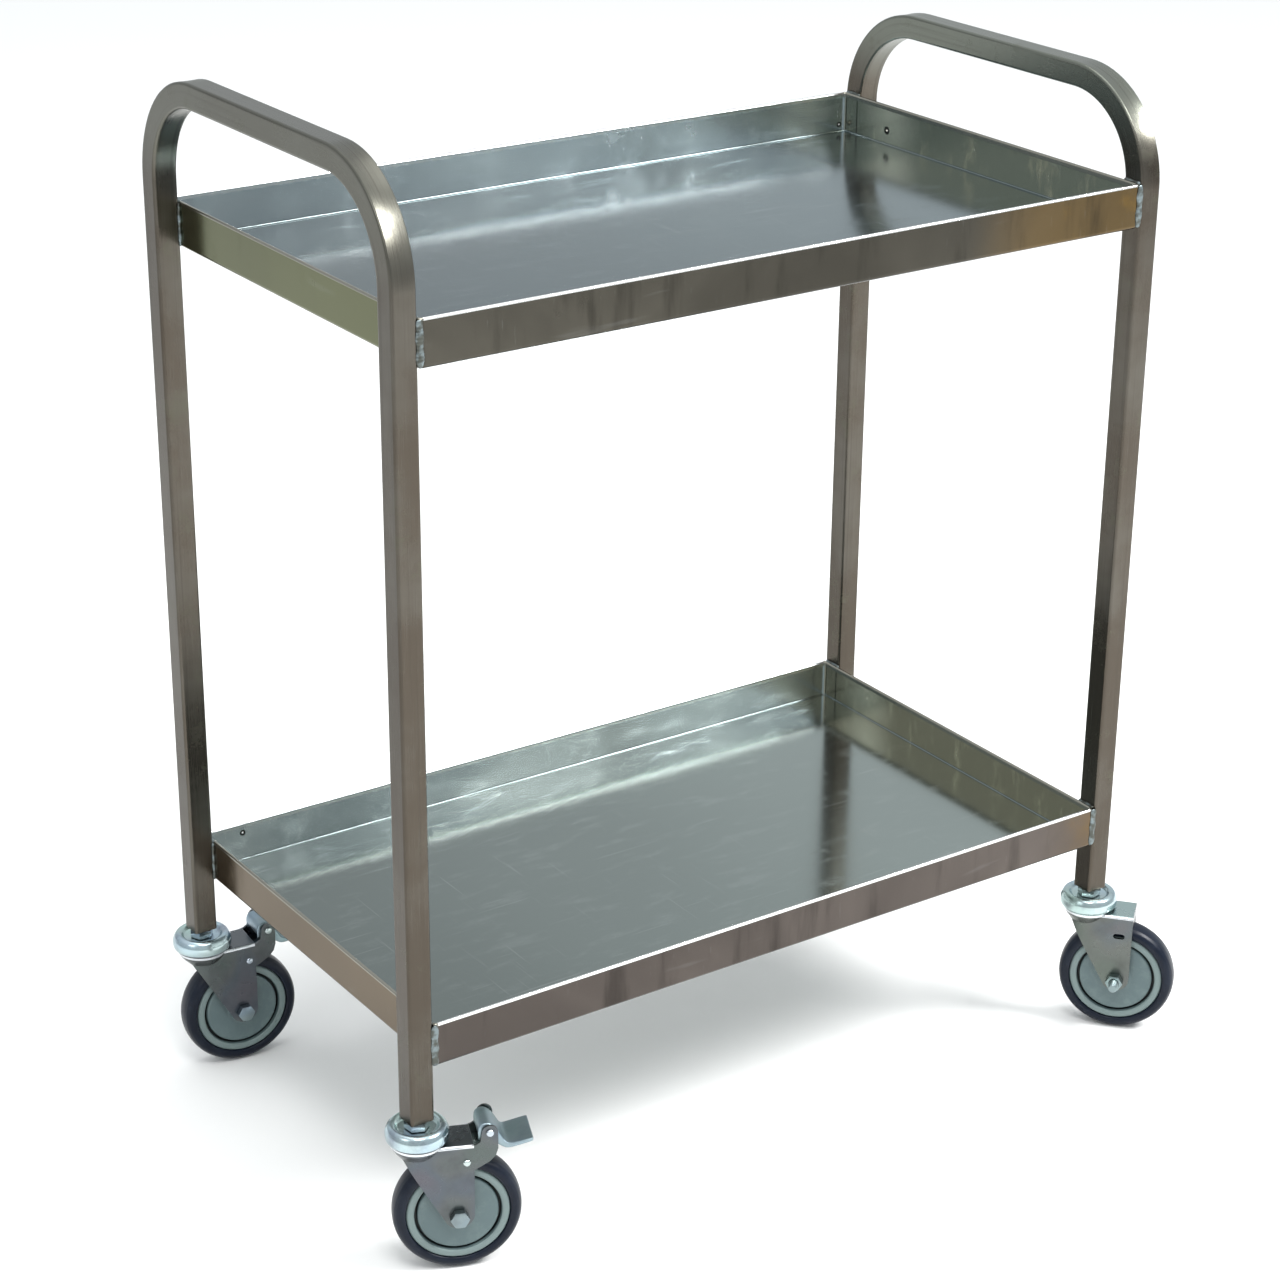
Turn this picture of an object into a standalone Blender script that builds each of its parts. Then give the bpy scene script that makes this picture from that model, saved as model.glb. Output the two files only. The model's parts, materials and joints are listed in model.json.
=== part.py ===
"""Instrument cart: two square-tube end frames, two sheet trays and four swivel
casters, the left pair with pedal brakes. Metres, +Z up; the long side faces -Y."""
import math
import bpy
import bmesh
from mathutils import Matrix, Vector

MM = 0.001

# ---- driving dimensions (millimetres) ----
LENGTH = 696.0            # over the two end frames, along X
DEPTH = 377.0             # over the legs, along Y
TUBE = 20.0               # square tube of the end frames
TUBE_CORNER = 2.0
TUBE_WALL = 1.2
BEND_RADIUS = 87.0        # outer radius of the handle bends
LEFT_HANDLE_TOP = 863.0   # the brake end's handle stands taller
RIGHT_HANDLE_TOP = 838.0
LEG_FOOT = 131.5          # height of the tubes' lower ends

TOP_RIM = 757.6
BOTTOM_RIM = 213.0
TRAY_HEIGHT = 36.0
SHEET = 1.2
TRAY_CORNER = 4.8
FLOOR_BEND = 3.0
HEM_IN = 3.3
HEM_DOWN = 3.2
GAP = 0.3                 # clearance between pieces that meet

TRAIL = 29.0              # swivel axis to axle
WHEEL_RADIUS = 50.0
FORK_HALF = 16.0
PLATE = 2.0
CROWN_TOP = 112.5
PIN_S, PIN_Z = 53.3, 122.0    # brake pedal's pivot
RIVET_S, RIVET_Z = 35.4, 97.5
SLOT_S, SLOT_Z = 29.9, 93.3

# swivel heading of each caster at rest, degrees from +X, and its kind
CASTERS = {
    "fl": (-1, -1, -23.0, True),
    "bl": (-1, 1, -6.0, True),
    "fr": (1, -1, -49.0, False),
    "br": (1, 1, -30.0, False),
}
# moves the rest pose's bounding box centre onto the origin
ORIGIN_X = -23.429
ORIGIN_Y = 19.834

for old in list(bpy.data.objects):
    bpy.data.objects.remove(old, do_unlink=True)

PARTS = bpy.data.collections.new("instrument_cart")
CUTTERS = bpy.data.collections.new("instrument_cart_cutters")
bpy.context.scene.collection.children.link(PARTS)
bpy.context.scene.collection.children.link(CUTTERS)


# ---- materials ----
def material(name, colour, roughness, metallic):
    m = bpy.data.materials.new(name)
    m.use_nodes = True
    b = m.node_tree.nodes["Principled BSDF"]
    b.inputs["Base Color"].default_value = (*colour, 1.0)
    b.inputs["Roughness"].default_value = roughness
    b.inputs["Metallic"].default_value = metallic
    m.diffuse_color = (*colour, 1.0)
    return m


TUBE_STEEL = material("tube_steel", (0.42, 0.41, 0.39), 0.32, 1.0)
TRAY_STEEL = material("tray_steel", (0.50, 0.52, 0.52), 0.18, 1.0)
ZINC = material("zinc_plate", (0.55, 0.60, 0.60), 0.22, 1.0)
BOLT_STEEL = material("bolt_steel", (0.62, 0.64, 0.64), 0.25, 1.0)
RUBBER = material("tyre_rubber", (0.035, 0.042, 0.052), 0.55, 0.0)
GREY_PLASTIC = material("core_plastic", (0.33, 0.40, 0.39), 0.5, 0.0)
PLUG_PLASTIC = material("plug_plastic", (0.02, 0.02, 0.02), 0.6, 0.0)


# ---- builders ----
def add(obj, collection=CUTTERS):
    collection.objects.link(obj)
    if collection is CUTTERS:
        obj.hide_render = True
        obj.display_type = 'WIRE'
    return obj


def from_bmesh(bm, name):
    mesh = bpy.data.meshes.new(name)
    bm.to_mesh(mesh)
    bm.free()
    return add(bpy.data.objects.new(name, mesh))


def box(name, lo, hi, bevel=0.0, segments=2):
    bm = bmesh.new()
    bmesh.ops.create_cube(bm, size=1.0)
    size = [b - a for a, b in zip(lo, hi)]
    mid = [(a + b) / 2 for a, b in zip(lo, hi)]
    bmesh.ops.scale(bm, vec=[s * MM for s in size], verts=bm.verts)
    bmesh.ops.translate(bm, vec=[c * MM for c in mid], verts=bm.verts)
    if bevel:
        bmesh.ops.bevel(bm, geom=bm.edges[:], offset=bevel * MM, segments=segments,
                        profile=0.5, affect='EDGES')
    return from_bmesh(bm, name)


def cylinder(name, radius, z0, z1, segments=24, matrix=None, radius2=None):
    bm = bmesh.new()
    r2 = radius if radius2 is None else radius2
    bmesh.ops.create_cone(bm, cap_ends=True, segments=segments, radius1=radius * MM,
                          radius2=r2 * MM, depth=(z1 - z0) * MM,
                          matrix=Matrix.Translation((0, 0, (z0 + z1) / 2 * MM)))
    if matrix is not None:
        bmesh.ops.transform(bm, matrix=matrix, verts=bm.verts)
    return from_bmesh(bm, name)


def across(s, z):
    """Turns a shape made along Z into one along -Y, centred on (s, z)."""
    return Matrix.Translation((s * MM, 0, z * MM)) @ Matrix.Rotation(math.pi / 2, 4, 'X')


def turned(name, profile, segments=32, closed=True):
    """A turned solid: the (radius, z) profile runs down its outer side."""
    mesh = bpy.data.meshes.new(name)
    n = len(profile)
    edges = [(i, i + 1) for i in range(n - 1)] + ([(n - 1, 0)] if closed else [])
    mesh.from_pydata([(r * MM, 0, z * MM) for r, z in profile], edges, [])
    obj = add(bpy.data.objects.new(name, mesh))
    screw = obj.modifiers.new("turn", 'SCREW')
    screw.axis = 'Z'
    screw.steps = segments
    screw.render_steps = segments
    screw.use_merge_vertices = True
    screw.merge_threshold = 0.00001
    screw.use_normal_calculate = False
    return obj


def outline(name, points, thickness, matrix=None):
    """A flat plate from a 2D outline, its thickness centred on the plane."""
    curve = bpy.data.curves.new(name, 'CURVE')
    curve.dimensions = '2D'
    curve.fill_mode = 'BOTH'
    curve.extrude = thickness / 2 * MM
    spline = curve.splines.new('POLY')
    spline.points.add(len(points) - 1)
    for p, (x, y) in zip(spline.points, points):
        p.co = (x * MM, y * MM, 0, 1)
    spline.use_cyclic_u = True
    return as_mesh(add(bpy.data.objects.new(name, curve)), name, matrix)


def as_mesh(obj, name, matrix=None):
    """The evaluated shape of an object as a new plain mesh object."""
    bpy.context.view_layer.update()
    graph = bpy.context.evaluated_depsgraph_get()
    mesh = bpy.data.meshes.new_from_object(obj.evaluated_get(graph))
    bm = bmesh.new()
    bm.from_mesh(mesh)
    bmesh.ops.remove_doubles(bm, verts=bm.verts, dist=0.000005)
    bmesh.ops.recalc_face_normals(bm, faces=bm.faces)
    bmesh.ops.transform(bm, matrix=(matrix or Matrix()) @ obj.matrix_world, verts=bm.verts)
    bm.to_mesh(mesh)
    bm.free()
    mesh.name = name
    bpy.data.objects.remove(obj, do_unlink=True)
    return add(bpy.data.objects.new(name, mesh))


def combine(base, steps):
    """Joins and cuts the base with each (operation, tool) and applies the result."""
    for operation, tool in steps:
        mod = base.modifiers.new(operation.lower(), 'BOOLEAN')
        mod.operation = operation
        mod.solver = 'EXACT'
        mod.object = tool
    name = base.name
    done = as_mesh(base, name)
    for _, tool in steps:
        bpy.data.objects.remove(tool, do_unlink=True)
    return done


def finish(obj, mat, name=None, parent=None, location=None, rotation=None, smooth=35.0):
    """Makes a built shape one of the object's parts."""
    if name:
        obj.name = name
    obj.data.materials.clear()
    obj.data.materials.append(mat)
    obj.data.shade_smooth()
    obj.data.set_sharp_from_angle(angle=math.radians(smooth))
    for c in list(obj.users_collection):
        c.objects.unlink(obj)
    PARTS.objects.link(obj)
    obj.hide_render = False
    obj.display_type = 'TEXTURED'
    if parent is not None:
        obj.parent = parent
    if location is not None:
        obj.location = [v * MM for v in location]
    if rotation is not None:
        obj.rotation_euler = rotation
    return obj


def empty(name, parent, location, rotation=(0, 0, 0)):
    e = bpy.data.objects.new(name, None)
    e.empty_display_size = 0.02
    PARTS.objects.link(e)
    e.parent = parent
    e.location = [v * MM for v in location]
    e.rotation_euler = rotation
    return e


def arc(cx, cy, radius, a0, a1, n):
    """Points on an arc, angles in degrees."""
    return [(cx + radius * math.cos(math.radians(a0 + (a1 - a0) * i / n)),
             cy + radius * math.sin(math.radians(a0 + (a1 - a0) * i / n))) for i in range(n + 1)]


# ---- end frames ----
def frame_path(top, inset_ends):
    """Centre line of an end frame in its own plane: up a leg, over, down the other."""
    half = DEPTH / 2 - TUBE / 2
    r = BEND_RADIUS - TUBE / 2
    zc = top - BEND_RADIUS
    near = arc(-half + r, zc, r, 180, 90, 7)
    far = arc(half - r, zc, r, 90, 0, 7)
    return [(-half, LEG_FOOT + inset_ends)] + near + far + [(half, LEG_FOOT + inset_ends)]


def square_section(name, side, corner, n=2):
    h = side / 2 - corner
    pts = (arc(h, h, corner, 0, 90, n) + arc(-h, h, corner, 90, 180, n)
           + arc(-h, -h, corner, 180, 270, n) + arc(h, -h, corner, 270, 360, n))
    curve = bpy.data.curves.new(name, 'CURVE')
    curve.dimensions = '2D'
    curve.fill_mode = 'NONE'
    spline = curve.splines.new('POLY')
    spline.points.add(len(pts) - 1)
    for p, (x, y) in zip(spline.points, pts):
        p.co = (x * MM, y * MM, 0, 1)
    spline.use_cyclic_u = True
    return add(bpy.data.objects.new(name, curve))


def swept(name, path, side, corner):
    section = square_section(name + "_section", side, corner)
    curve = bpy.data.curves.new(name, 'CURVE')
    curve.dimensions = '3D'
    curve.twist_mode = 'MINIMUM'
    curve.bevel_mode = 'OBJECT'
    curve.bevel_object = section
    curve.use_fill_caps = True
    spline = curve.splines.new('POLY')
    spline.points.add(len(path) - 1)
    for p, (y, z) in zip(spline.points, path):
        p.co = (0, y * MM, z * MM, 1)
    solid = as_mesh(add(bpy.data.objects.new(name, curve)), name)
    bpy.data.objects.remove(section, do_unlink=True)
    return solid


def end_frame(name, side, top, root):
    tube = swept(name, frame_path(top, 0.0), TUBE, TUBE_CORNER)
    bore = swept(name + "_bore", frame_path(top, -5.0), TUBE - 2 * TUBE_WALL,
                 TUBE_CORNER - TUBE_WALL)
    tube = combine(tube, [('DIFFERENCE', bore)])
    return finish(tube, TUBE_STEEL, name, root, (side * (LENGTH / 2 - TUBE / 2), 0, 0))


# ---- trays ----
def tray(name, rim, root, holes):
    hx = LENGTH / 2 - TUBE - GAP
    hy = DEPTH / 2
    bm = bmesh.new()
    bmesh.ops.create_cube(bm, size=1.0)
    bmesh.ops.scale(bm, vec=(2 * hx * MM, 2 * hy * MM, TRAY_HEIGHT * MM), verts=bm.verts)
    bmesh.ops.translate(bm, vec=(0, 0, (rim - TRAY_HEIGHT / 2) * MM), verts=bm.verts)
    lid = [f for f in bm.faces if f.normal.z > 0.9]
    bmesh.ops.delete(bm, geom=lid, context='FACES_ONLY')
    upright = [e for e in bm.edges if abs(e.verts[0].co.z - e.verts[1].co.z) > 0.01]
    bmesh.ops.bevel(bm, geom=upright, offset=TRAY_CORNER * MM, segments=2, profile=0.5,
                    affect='EDGES')
    low = (rim - TRAY_HEIGHT) * MM
    foot = [e for e in bm.edges if all(abs(v.co.z - low) < 1e-6 for v in e.verts)]
    bmesh.ops.bevel(bm, geom=foot, offset=FLOOR_BEND * MM * 0.8, segments=2, profile=0.5,
                    affect='EDGES')
    # the hem: the upper edge is extruded in and down, square to the wall at each point
    def inward(co):
        cx, cy = (hx - TRAY_CORNER) * MM, (hy - TRAY_CORNER) * MM
        d = Vector((co.x - max(-cx, min(cx, co.x)), co.y - max(-cy, min(cy, co.y)), 0))
        return -d.normalized()
    top = rim * MM
    edge = [e for e in bm.edges if e.is_boundary]
    fold = [(0.35, 0.9), (1.7, 1.3), (HEM_IN - 0.4, 0.9), (HEM_IN, -0.2), (HEM_IN, -HEM_DOWN)]
    start = {v.index: None for v in bm.verts}
    base = {}
    bm.verts.index_update()
    current = edge
    for e in edge:
        for v in e.verts:
            v.co.z = top - 1.3 * MM
    for step_in, step_up in fold:
        grown = bmesh.ops.extrude_edge_only(bm, edges=current)["geom"]
        current = [g for g in grown if isinstance(g, bmesh.types.BMEdge)]
        for v in [g for g in grown if isinstance(g, bmesh.types.BMVert)]:
            # each new point starts on the last one, so step by the difference
            base[v] = (step_in, step_up)
        current = [e for e in current if all(v in base and base[v] == (step_in, step_up)
                                             for v in e.verts)]
        prev = fold[fold.index((step_in, step_up)) - 1] if step_in != fold[0][0] else (0, 0)
        for v in {v for e in current for v in e.verts}:
            n = inward(v.co)
            v.co += n * (step_in - prev[0]) * MM
            v.co.z += (step_up - prev[1]) * MM
    del start
    bmesh.ops.recalc_face_normals(bm, faces=bm.faces)
    floor = min(bm.faces, key=lambda f: f.calc_center_median().z)
    if floor.normal.z > 0:
        bmesh.ops.reverse_faces(bm, faces=bm.faces)
    pan = from_bmesh(bm, name)
    solid = pan.modifiers.new("sheet", 'SOLIDIFY')
    solid.thickness = SHEET * MM
    solid.offset = -1.0
    solid.use_even_offset = True
    pan = as_mesh(pan, name)
    cuts = []
    for i, (x, y, z, along, radius) in enumerate(holes):
        turn = Matrix.Rotation(math.pi / 2, 4, 'X' if along == 'Y' else 'Y')
        place = Matrix.Translation((x * MM, y * MM, z * MM)) @ turn
        cuts.append(('DIFFERENCE', cylinder(f"{name}_hole{i}", radius, -6, 6, 12, place)))
    pan = combine(pan, cuts)
    return finish(pan, TRAY_STEEL, name, root, smooth=25.0)


# ---- caster pieces, modelled on the swivel axis with the wheel trailing to +X ----
def build_plug():
    plug = box("plug", (-8.5, -8.5, LEG_FOOT + 0.3), (8.5, 8.5, LEG_FOOT + 24))
    return combine(plug, [('DIFFERENCE',
                           cylinder("plug_bore", 5.0, LEG_FOOT - 5, LEG_FOOT + 30, 14))])


def build_stem():
    shaft = turned("stem", [(0, 152.5), (4.7, 152.5), (4.7, 131.0), (5.8, 127.0),
                            (5.8, 108.3), (8.2, 108.3), (7.4, 106.0), (0, 105.8)],
                   segments=14, closed=False)
    shaft = as_mesh(shaft, "stem")
    collar = cylinder("collar", 17.0 / math.sqrt(3), 123.8, LEG_FOOT - GAP, segments=6)
    return combine(shaft, [('UNION', collar)])


def build_cap():
    return as_mesh(turned("cap", [
        (6.3, 123.5), (14.6, 123.5), (18.0, 127.2), (20.4, 127.2), (24.5, 121.4),
        (24.5, 115.0), (22.8, 115.0), (21.4, 121.2), (6.3, 121.2)], 20), "cap")


def build_balls():
    ring = as_mesh(turned("balls", [(15.4, 118.3), (20.6, 118.3), (20.6, 116.9), (15.4, 116.9)],
                          segments=16), "balls")
    bm = bmesh.new()
    count = 8
    for i in range(count):
        a = 2 * math.pi * i / count
        place = Matrix.Translation((18 * MM * math.cos(a), 18 * MM * math.sin(a), 117.6 * MM))
        bmesh.ops.create_uvsphere(bm, u_segments=6, v_segments=3, radius=3.0 * MM, matrix=place)
    return combine(ring, [('UNION', from_bmesh(bm, "ball_set"))])


def plan(radius, back, name, z0, z1):
    """A prism with a round front about the swivel axis and straight sides."""
    pts = [(back, -radius)] + [(back, radius)] + arc(0, 0, radius, 90, 270, 8)
    return outline(name, pts, z1 - z0, Matrix.Translation((0, 0, (z0 + z1) / 2 * MM)))


def side_prism(name, pts, y0, y1):
    """An (s, z) outline stood upright and spanning y0..y1."""
    place = Matrix.Translation((0, (y0 + y1) / 2 * MM, 0)) @ Matrix.Rotation(math.pi / 2, 4, 'X')
    return outline(name, pts, y1 - y0, place)


def leg_outline(back):
    """Side view of a fork leg: slanting front edge, round foot about the axle."""
    foot = arc(TRAIL, 52.0, 12.0, 218, 360, 6)
    return ([(back, 118), (-26, 118), (-26, 110.5), (-21.5, 110.5), (-12.2, 101.8)]
            + foot + [(back, 60)])


def build_fork(braked):
    back = 41.0
    shell = plan(FORK_HALF, back, "fork", 38, CROWN_TOP)
    bm = bmesh.new()
    bm.from_mesh(shell.data)
    top = [e for e in bm.edges if all(abs(v.co.z - CROWN_TOP * MM) < 1e-6 for v in e.verts)
           and not all(abs(v.co.x - back * MM) < 1e-6 for v in e.verts)]
    rim = [e for e in top if len([f for f in e.link_faces if abs(f.normal.z) < 0.5]) == 1]
    bmesh.ops.bevel(bm, geom=rim, offset=1.8 * MM, segments=2, profile=0.5, affect='EDGES')
    bm.to_mesh(shell.data)
    bm.free()
    cup = as_mesh(turned("cup", [(0, 114.2), (20.4, 114.2), (21.3, 111.6), (15.9, 102.0),
                                 (0, 102.0)], 20, False), "cup")
    inner_back = back + 10 if braked else back - PLATE
    hollow = plan(FORK_HALF - PLATE, inner_back, "hollow", 30, CROWN_TOP - PLATE)
    cone = as_mesh(turned("cone", [(0, 112.2), (18.4, 112.2), (13.9, 102.9), (13.9, 98),
                                   (0, 98)], 20, False), "cone")
    trim = side_prism("trim", leg_outline(back + 0.4), -30, 30)
    steps = [('UNION', cup), ('DIFFERENCE', hollow), ('DIFFERENCE', cone), ('INTERSECT', trim),
             ('DIFFERENCE', cylinder("king", 6.3, 100, 120, 14)),
             ('DIFFERENCE', cylinder("axle_hole", 4.4, -30, 30, 14, across(TRAIL, WHEEL_RADIUS)))]
    if braked:
        horn = ([(34, 84), (41.4, 90.5), (53.0, 97.0), (57.6, 102.0), (59.4, 108.0)]
                + arc(PIN_S, PIN_Z, 6.2, 0, 180, 6) + [(45.8, 114.5), (42.5, 112.4), (34, 111.2)])
        outer, inner = FORK_HALF - 0.05, FORK_HALF - PLATE + 0.05
        near = side_prism("horn_near", horn, -outer, -inner)
        far = side_prism("horn_far", horn, inner, outer)
        steps += [('UNION', near), ('UNION', far),
                  ('DIFFERENCE', cylinder("pin_hole", 2.8, -30, 30, 12, across(PIN_S, PIN_Z))),
                  ('DIFFERENCE', cylinder("rivet_hole", 2.7, -30, 30, 10, across(RIVET_S, RIVET_Z)))]
    else:
        under = box("under", (back - 6, -FORK_HALF + PLATE, 20),
                    (back + 6, FORK_HALF - PLATE, 100.4))
        slot = (arc(SLOT_S + 2.6, SLOT_Z, 2.4, -90, 90, 4)
                + arc(SLOT_S - 2.6, SLOT_Z, 2.4, 90, 270, 4))
        steps += [('DIFFERENCE', under), ('DIFFERENCE', side_prism("slot", slot, -30, 30))]
    fork = shell
    for step in steps:
        fork = combine(fork, [step])
    return fork


def build_washer():
    return as_mesh(turned("washer", [(6.3, 110.2), (12.0, 110.2), (12.0, 108.6), (6.3, 108.6)],
                          14), "washer")


def build_sleeve():
    return as_mesh(turned("sleeve", [(4.4, 13.7), (6.0, 13.7), (6.0, -13.7), (4.4, -13.7)], 14),
                   "sleeve")


def build_core():
    half = [(6.4, 13.0), (11.0, 13.0), (12.2, 9.6), (31.4, 9.6), (32.0, 4.6), (35.0, 4.6),
            (35.6, 10.7), (40.0, 10.2)]
    return as_mesh(turned("core", half + [(r, -y) for r, y in reversed(half)], 20), "core")


def build_tyre():
    half = [(40.8, 10.8), (44.6, 11.6), (48.2, 9.0), (50.0, 3.4)]
    return as_mesh(turned("tyre", half + [(r, -y) for r, y in reversed(half)], 24), "tyre")


def build_bolt():
    shank = as_mesh(turned("bolt", [(0, 18.0), (4.0, 18.0), (4.0, -26.2), (3.2, -27.2), (0, -27.2)],
                           14, False), "bolt")
    start = FORK_HALF + GAP
    head = cylinder("head", 13.0 / math.sqrt(3), start, start + 5.3, segments=6)
    dome = cylinder("dome", 8.4, start - 1, start + 5.6, segments=12, radius2=6.3)
    head = combine(head, [('INTERSECT', dome)])
    return combine(shank, [('UNION', head)])


def build_nut():
    start = FORK_HALF + GAP
    nut = cylinder("nut", 13.0 / math.sqrt(3), -start - 6.5, -start, segments=6)
    dome = cylinder("nut_dome", 6.3, -start - 7, -start + 1, segments=12, radius2=8.6)
    return combine(nut, [('INTERSECT', dome),
                         ('DIFFERENCE', cylinder("nut_bore", 4.4, -40, 40, 14))])


def build_pedal():
    """Pressed pedal: a channel over the pivot that flares into a foot tongue."""
    stations = [  # (s, z) of the web, (s, z) of the flange edge, half width
        ((44.4, 117.5), (44.6, 114.0), 12.8), ((44.4, 124.0), (46.6, 113.6), 13.1),
        ((46.4, 128.0), (49.4, 113.2), 13.2), ((51.2, 129.3), (52.6, 112.7), 13.2),
        ((55.6, 127.4), (55.8, 111.8), 13.2), ((59.8, 121.8), (59.4, 109.2), 13.2),
        ((63.6, 114.2), (63.0, 106.8), 13.4), ((66.2, 111.3), (65.8, 106.2), 15.4),
        ((70.0, 110.9), (70.0, 107.0), 16.4), ((85.4, 114.4), (85.4, 111.2), 16.8),
        ((86.6, 114.2), (86.6, 111.4), 16.2)]
    bm = bmesh.new()
    rows = []
    for (ws, wz), (fs, fz), w in stations:
        ring = [(fs, -w, fz), (fs + (ws - fs) * 0.8, -w, fz + (wz - fz) * 0.8),
                (ws, -w + 1.6, wz), (ws, 0, wz + (0.0 if w < 15 else -0.5)), (ws, w - 1.6, wz),
                (fs + (ws - fs) * 0.8, w, fz + (wz - fz) * 0.8), (fs, w, fz)]
        rows.append([bm.verts.new([c * MM for c in p]) for p in ring])
    for a, b in zip(rows, rows[1:]):
        for i in range(len(a) - 1):
            bm.faces.new((a[i], b[i], b[i + 1], a[i + 1]))
    bmesh.ops.recalc_face_normals(bm, faces=bm.faces)
    if sum(f.normal.z * f.calc_area() for f in bm.faces) < 0:
        bmesh.ops.reverse_faces(bm, faces=bm.faces)
    web = from_bmesh(bm, "pedal")
    solid = web.modifiers.new("sheet", 'SOLIDIFY')
    solid.thickness = 1.8 * MM
    solid.offset = -1.0
    solid.use_even_offset = True
    web = as_mesh(web, "pedal")
    return combine(web, [('DIFFERENCE', cylinder("pedal_hole", 2.8, -30, 30, 12,
                                                 across(PIN_S, PIN_Z)))])


def build_pin():
    end = FORK_HALF + GAP
    return as_mesh(turned("pin", [(0, end + 1.7), (4.0, end + 0.6), (4.0, end), (2.5, end),
                                  (2.5, -end), (3.6, -end), (3.2, -end - 1.4),
                                  (0, -end - 1.4)], 12, False), "pin")


def build_shoe():
    """Brake shoe: a saddle over the tyre whose ears hang on two rivets."""
    top = [(30.5, 104.6), (40.0, 105.4), (48.0, 105.8), (55.5, 105.9), (57.5, 104.4)]
    under = [(s - (0.3 if i == len(top) - 1 else 0), z - 1.2) for i, (s, z) in enumerate(top)]
    saddle = side_prism("shoe", top + under[::-1], -13.5, 13.5)
    ear = [(31.2, 104.4)] + arc(RIVET_S, RIVET_Z, 4.2, 180, 360, 4) + [(39.6, 105.2)]
    steps = []
    for side in (-1, 1):
        lo, hi = sorted((side * 12.4, side * 13.5))
        steps.append(('UNION', side_prism("ear", ear, lo, hi)))
    steps.append(('DIFFERENCE', cylinder("ear_hole", 2.7, -30, 30, 10, across(RIVET_S, RIVET_Z))))
    for step in steps:
        saddle = combine(saddle, [step])
    return saddle


def build_rivet():
    end = FORK_HALF + GAP
    return as_mesh(turned("rivet", [(0, end + 2.0), (2.6, end + 1.7), (4.0, end + 0.4), (4.0, end),
                                    (2.4, end), (2.4, 12.1), (3.2, 12.1), (3.0, 11.7), (0, 11.7)],
                          10, False), "rivet")


# ---- assembly ----
root = empty("cart", None, (ORIGIN_X, ORIGIN_Y, 0))
end_frame("left_end_frame", -1, LEFT_HANDLE_TOP, root)
end_frame("right_end_frame", 1, RIGHT_HANDLE_TOP, root)
tray("top_tray", TOP_RIM, root, [
    (LENGTH / 2 - TUBE, 127.8, 735.0, 'X', 2.6), (320.6, DEPTH / 2, 729.0, 'Y', 1.8)])
tray("bottom_tray", BOTTOM_RIM, root, [(-291.1, DEPTH / 2, 203.0, 'Y', 2.0)])

plug, stem, cap, balls = build_plug(), build_stem(), build_cap(), build_balls()
washer, sleeve, core, tyre = build_washer(), build_sleeve(), build_core(), build_tyre()
bolt, nut = build_bolt(), build_nut()
forks = {True: build_fork(True), False: build_fork(False)}
pedal, pin, shoe, rivet = build_pedal(), build_pin(), build_shoe(), build_rivet()
ALONG_Y = (math.pi / 2, 0, 0)
ALONG_MINUS_Y = (-math.pi / 2, 0, 0)


def copy(master, mat, name, parent, location=(0, 0, 0), rotation=(0, 0, 0)):
    return finish(add(bpy.data.objects.new(name, master.data)), mat, name, parent, location, rotation)


for key, (sx, sy, heading, braked) in CASTERS.items():
    at = (sx * (LENGTH / 2 - TUBE / 2), sy * (DEPTH / 2 - TUBE / 2), 0)
    foot = empty("foot_" + key, root, at)
    copy(plug, PLUG_PLASTIC, "leg_plug_" + key, foot)
    copy(stem, BOLT_STEEL, "stem_" + key, foot)
    copy(cap, ZINC, "swivel_cap_" + key, foot)
    swivel = empty("swivel_" + key, foot, (0, 0, 0), (0, 0, math.radians(heading)))
    copy(balls, BOLT_STEEL, "ball_ring_" + key, swivel)
    copy(forks[braked], ZINC, "fork_" + key, swivel)
    copy(washer, BOLT_STEEL, "king_washer_" + key, swivel)
    axle = empty("axle_" + key, swivel, (TRAIL, 0, WHEEL_RADIUS))
    bolt_turn = ALONG_Y if braked else ALONG_MINUS_Y
    copy(bolt, BOLT_STEEL, "axle_bolt_" + key, axle, rotation=bolt_turn)
    copy(nut, BOLT_STEEL, "axle_nut_" + key, axle, rotation=bolt_turn)
    copy(sleeve, BOLT_STEEL, "axle_sleeve_" + key, axle, rotation=ALONG_Y)
    copy(core, GREY_PLASTIC, "wheel_core_" + key, axle, rotation=ALONG_Y)
    copy(tyre, RUBBER, "tyre_" + key, axle, rotation=ALONG_Y)
    if braked:
        pivot = empty("pedal_pivot_" + key, swivel, (PIN_S, 0, PIN_Z))
        copy(pedal, ZINC, "brake_pedal_" + key, pivot, (-PIN_S, 0, -PIN_Z))
        copy(pin, BOLT_STEEL, "pedal_pin_" + key, pivot, rotation=ALONG_Y)
        hinge = empty("shoe_hinge_" + key, swivel, (RIVET_S, 0, RIVET_Z))
        copy(shoe, BOLT_STEEL, "brake_shoe_" + key, hinge, (-RIVET_S, 0, -RIVET_Z))
        copy(rivet, BOLT_STEEL, "shoe_rivet_near_" + key, swivel, (RIVET_S, 0, RIVET_Z), ALONG_Y)
        copy(rivet, BOLT_STEEL, "shoe_rivet_far_" + key, swivel, (RIVET_S, 0, RIVET_Z), ALONG_MINUS_Y)

for master in (plug, stem, cap, balls, washer, sleeve, core, tyre, bolt, nut, *forks.values(),
               pedal, pin, shoe, rivet):
    bpy.data.objects.remove(master, do_unlink=True)
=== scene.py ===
# %% [markdown]
# # An instrument cart in Blender
# The cart is a two-tier stainless trolley: two bent square tubes, two folded sheet pans and four
# swivel casters, two of them with pedal brakes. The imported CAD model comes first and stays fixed.
# Each fine piece is then made in the same place and rides on the CAD body that moves it.

# %% Load the fixed frame
import json
import math
import bmesh
import bpy
import numpy as np
from mathutils import Matrix, Vector


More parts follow.
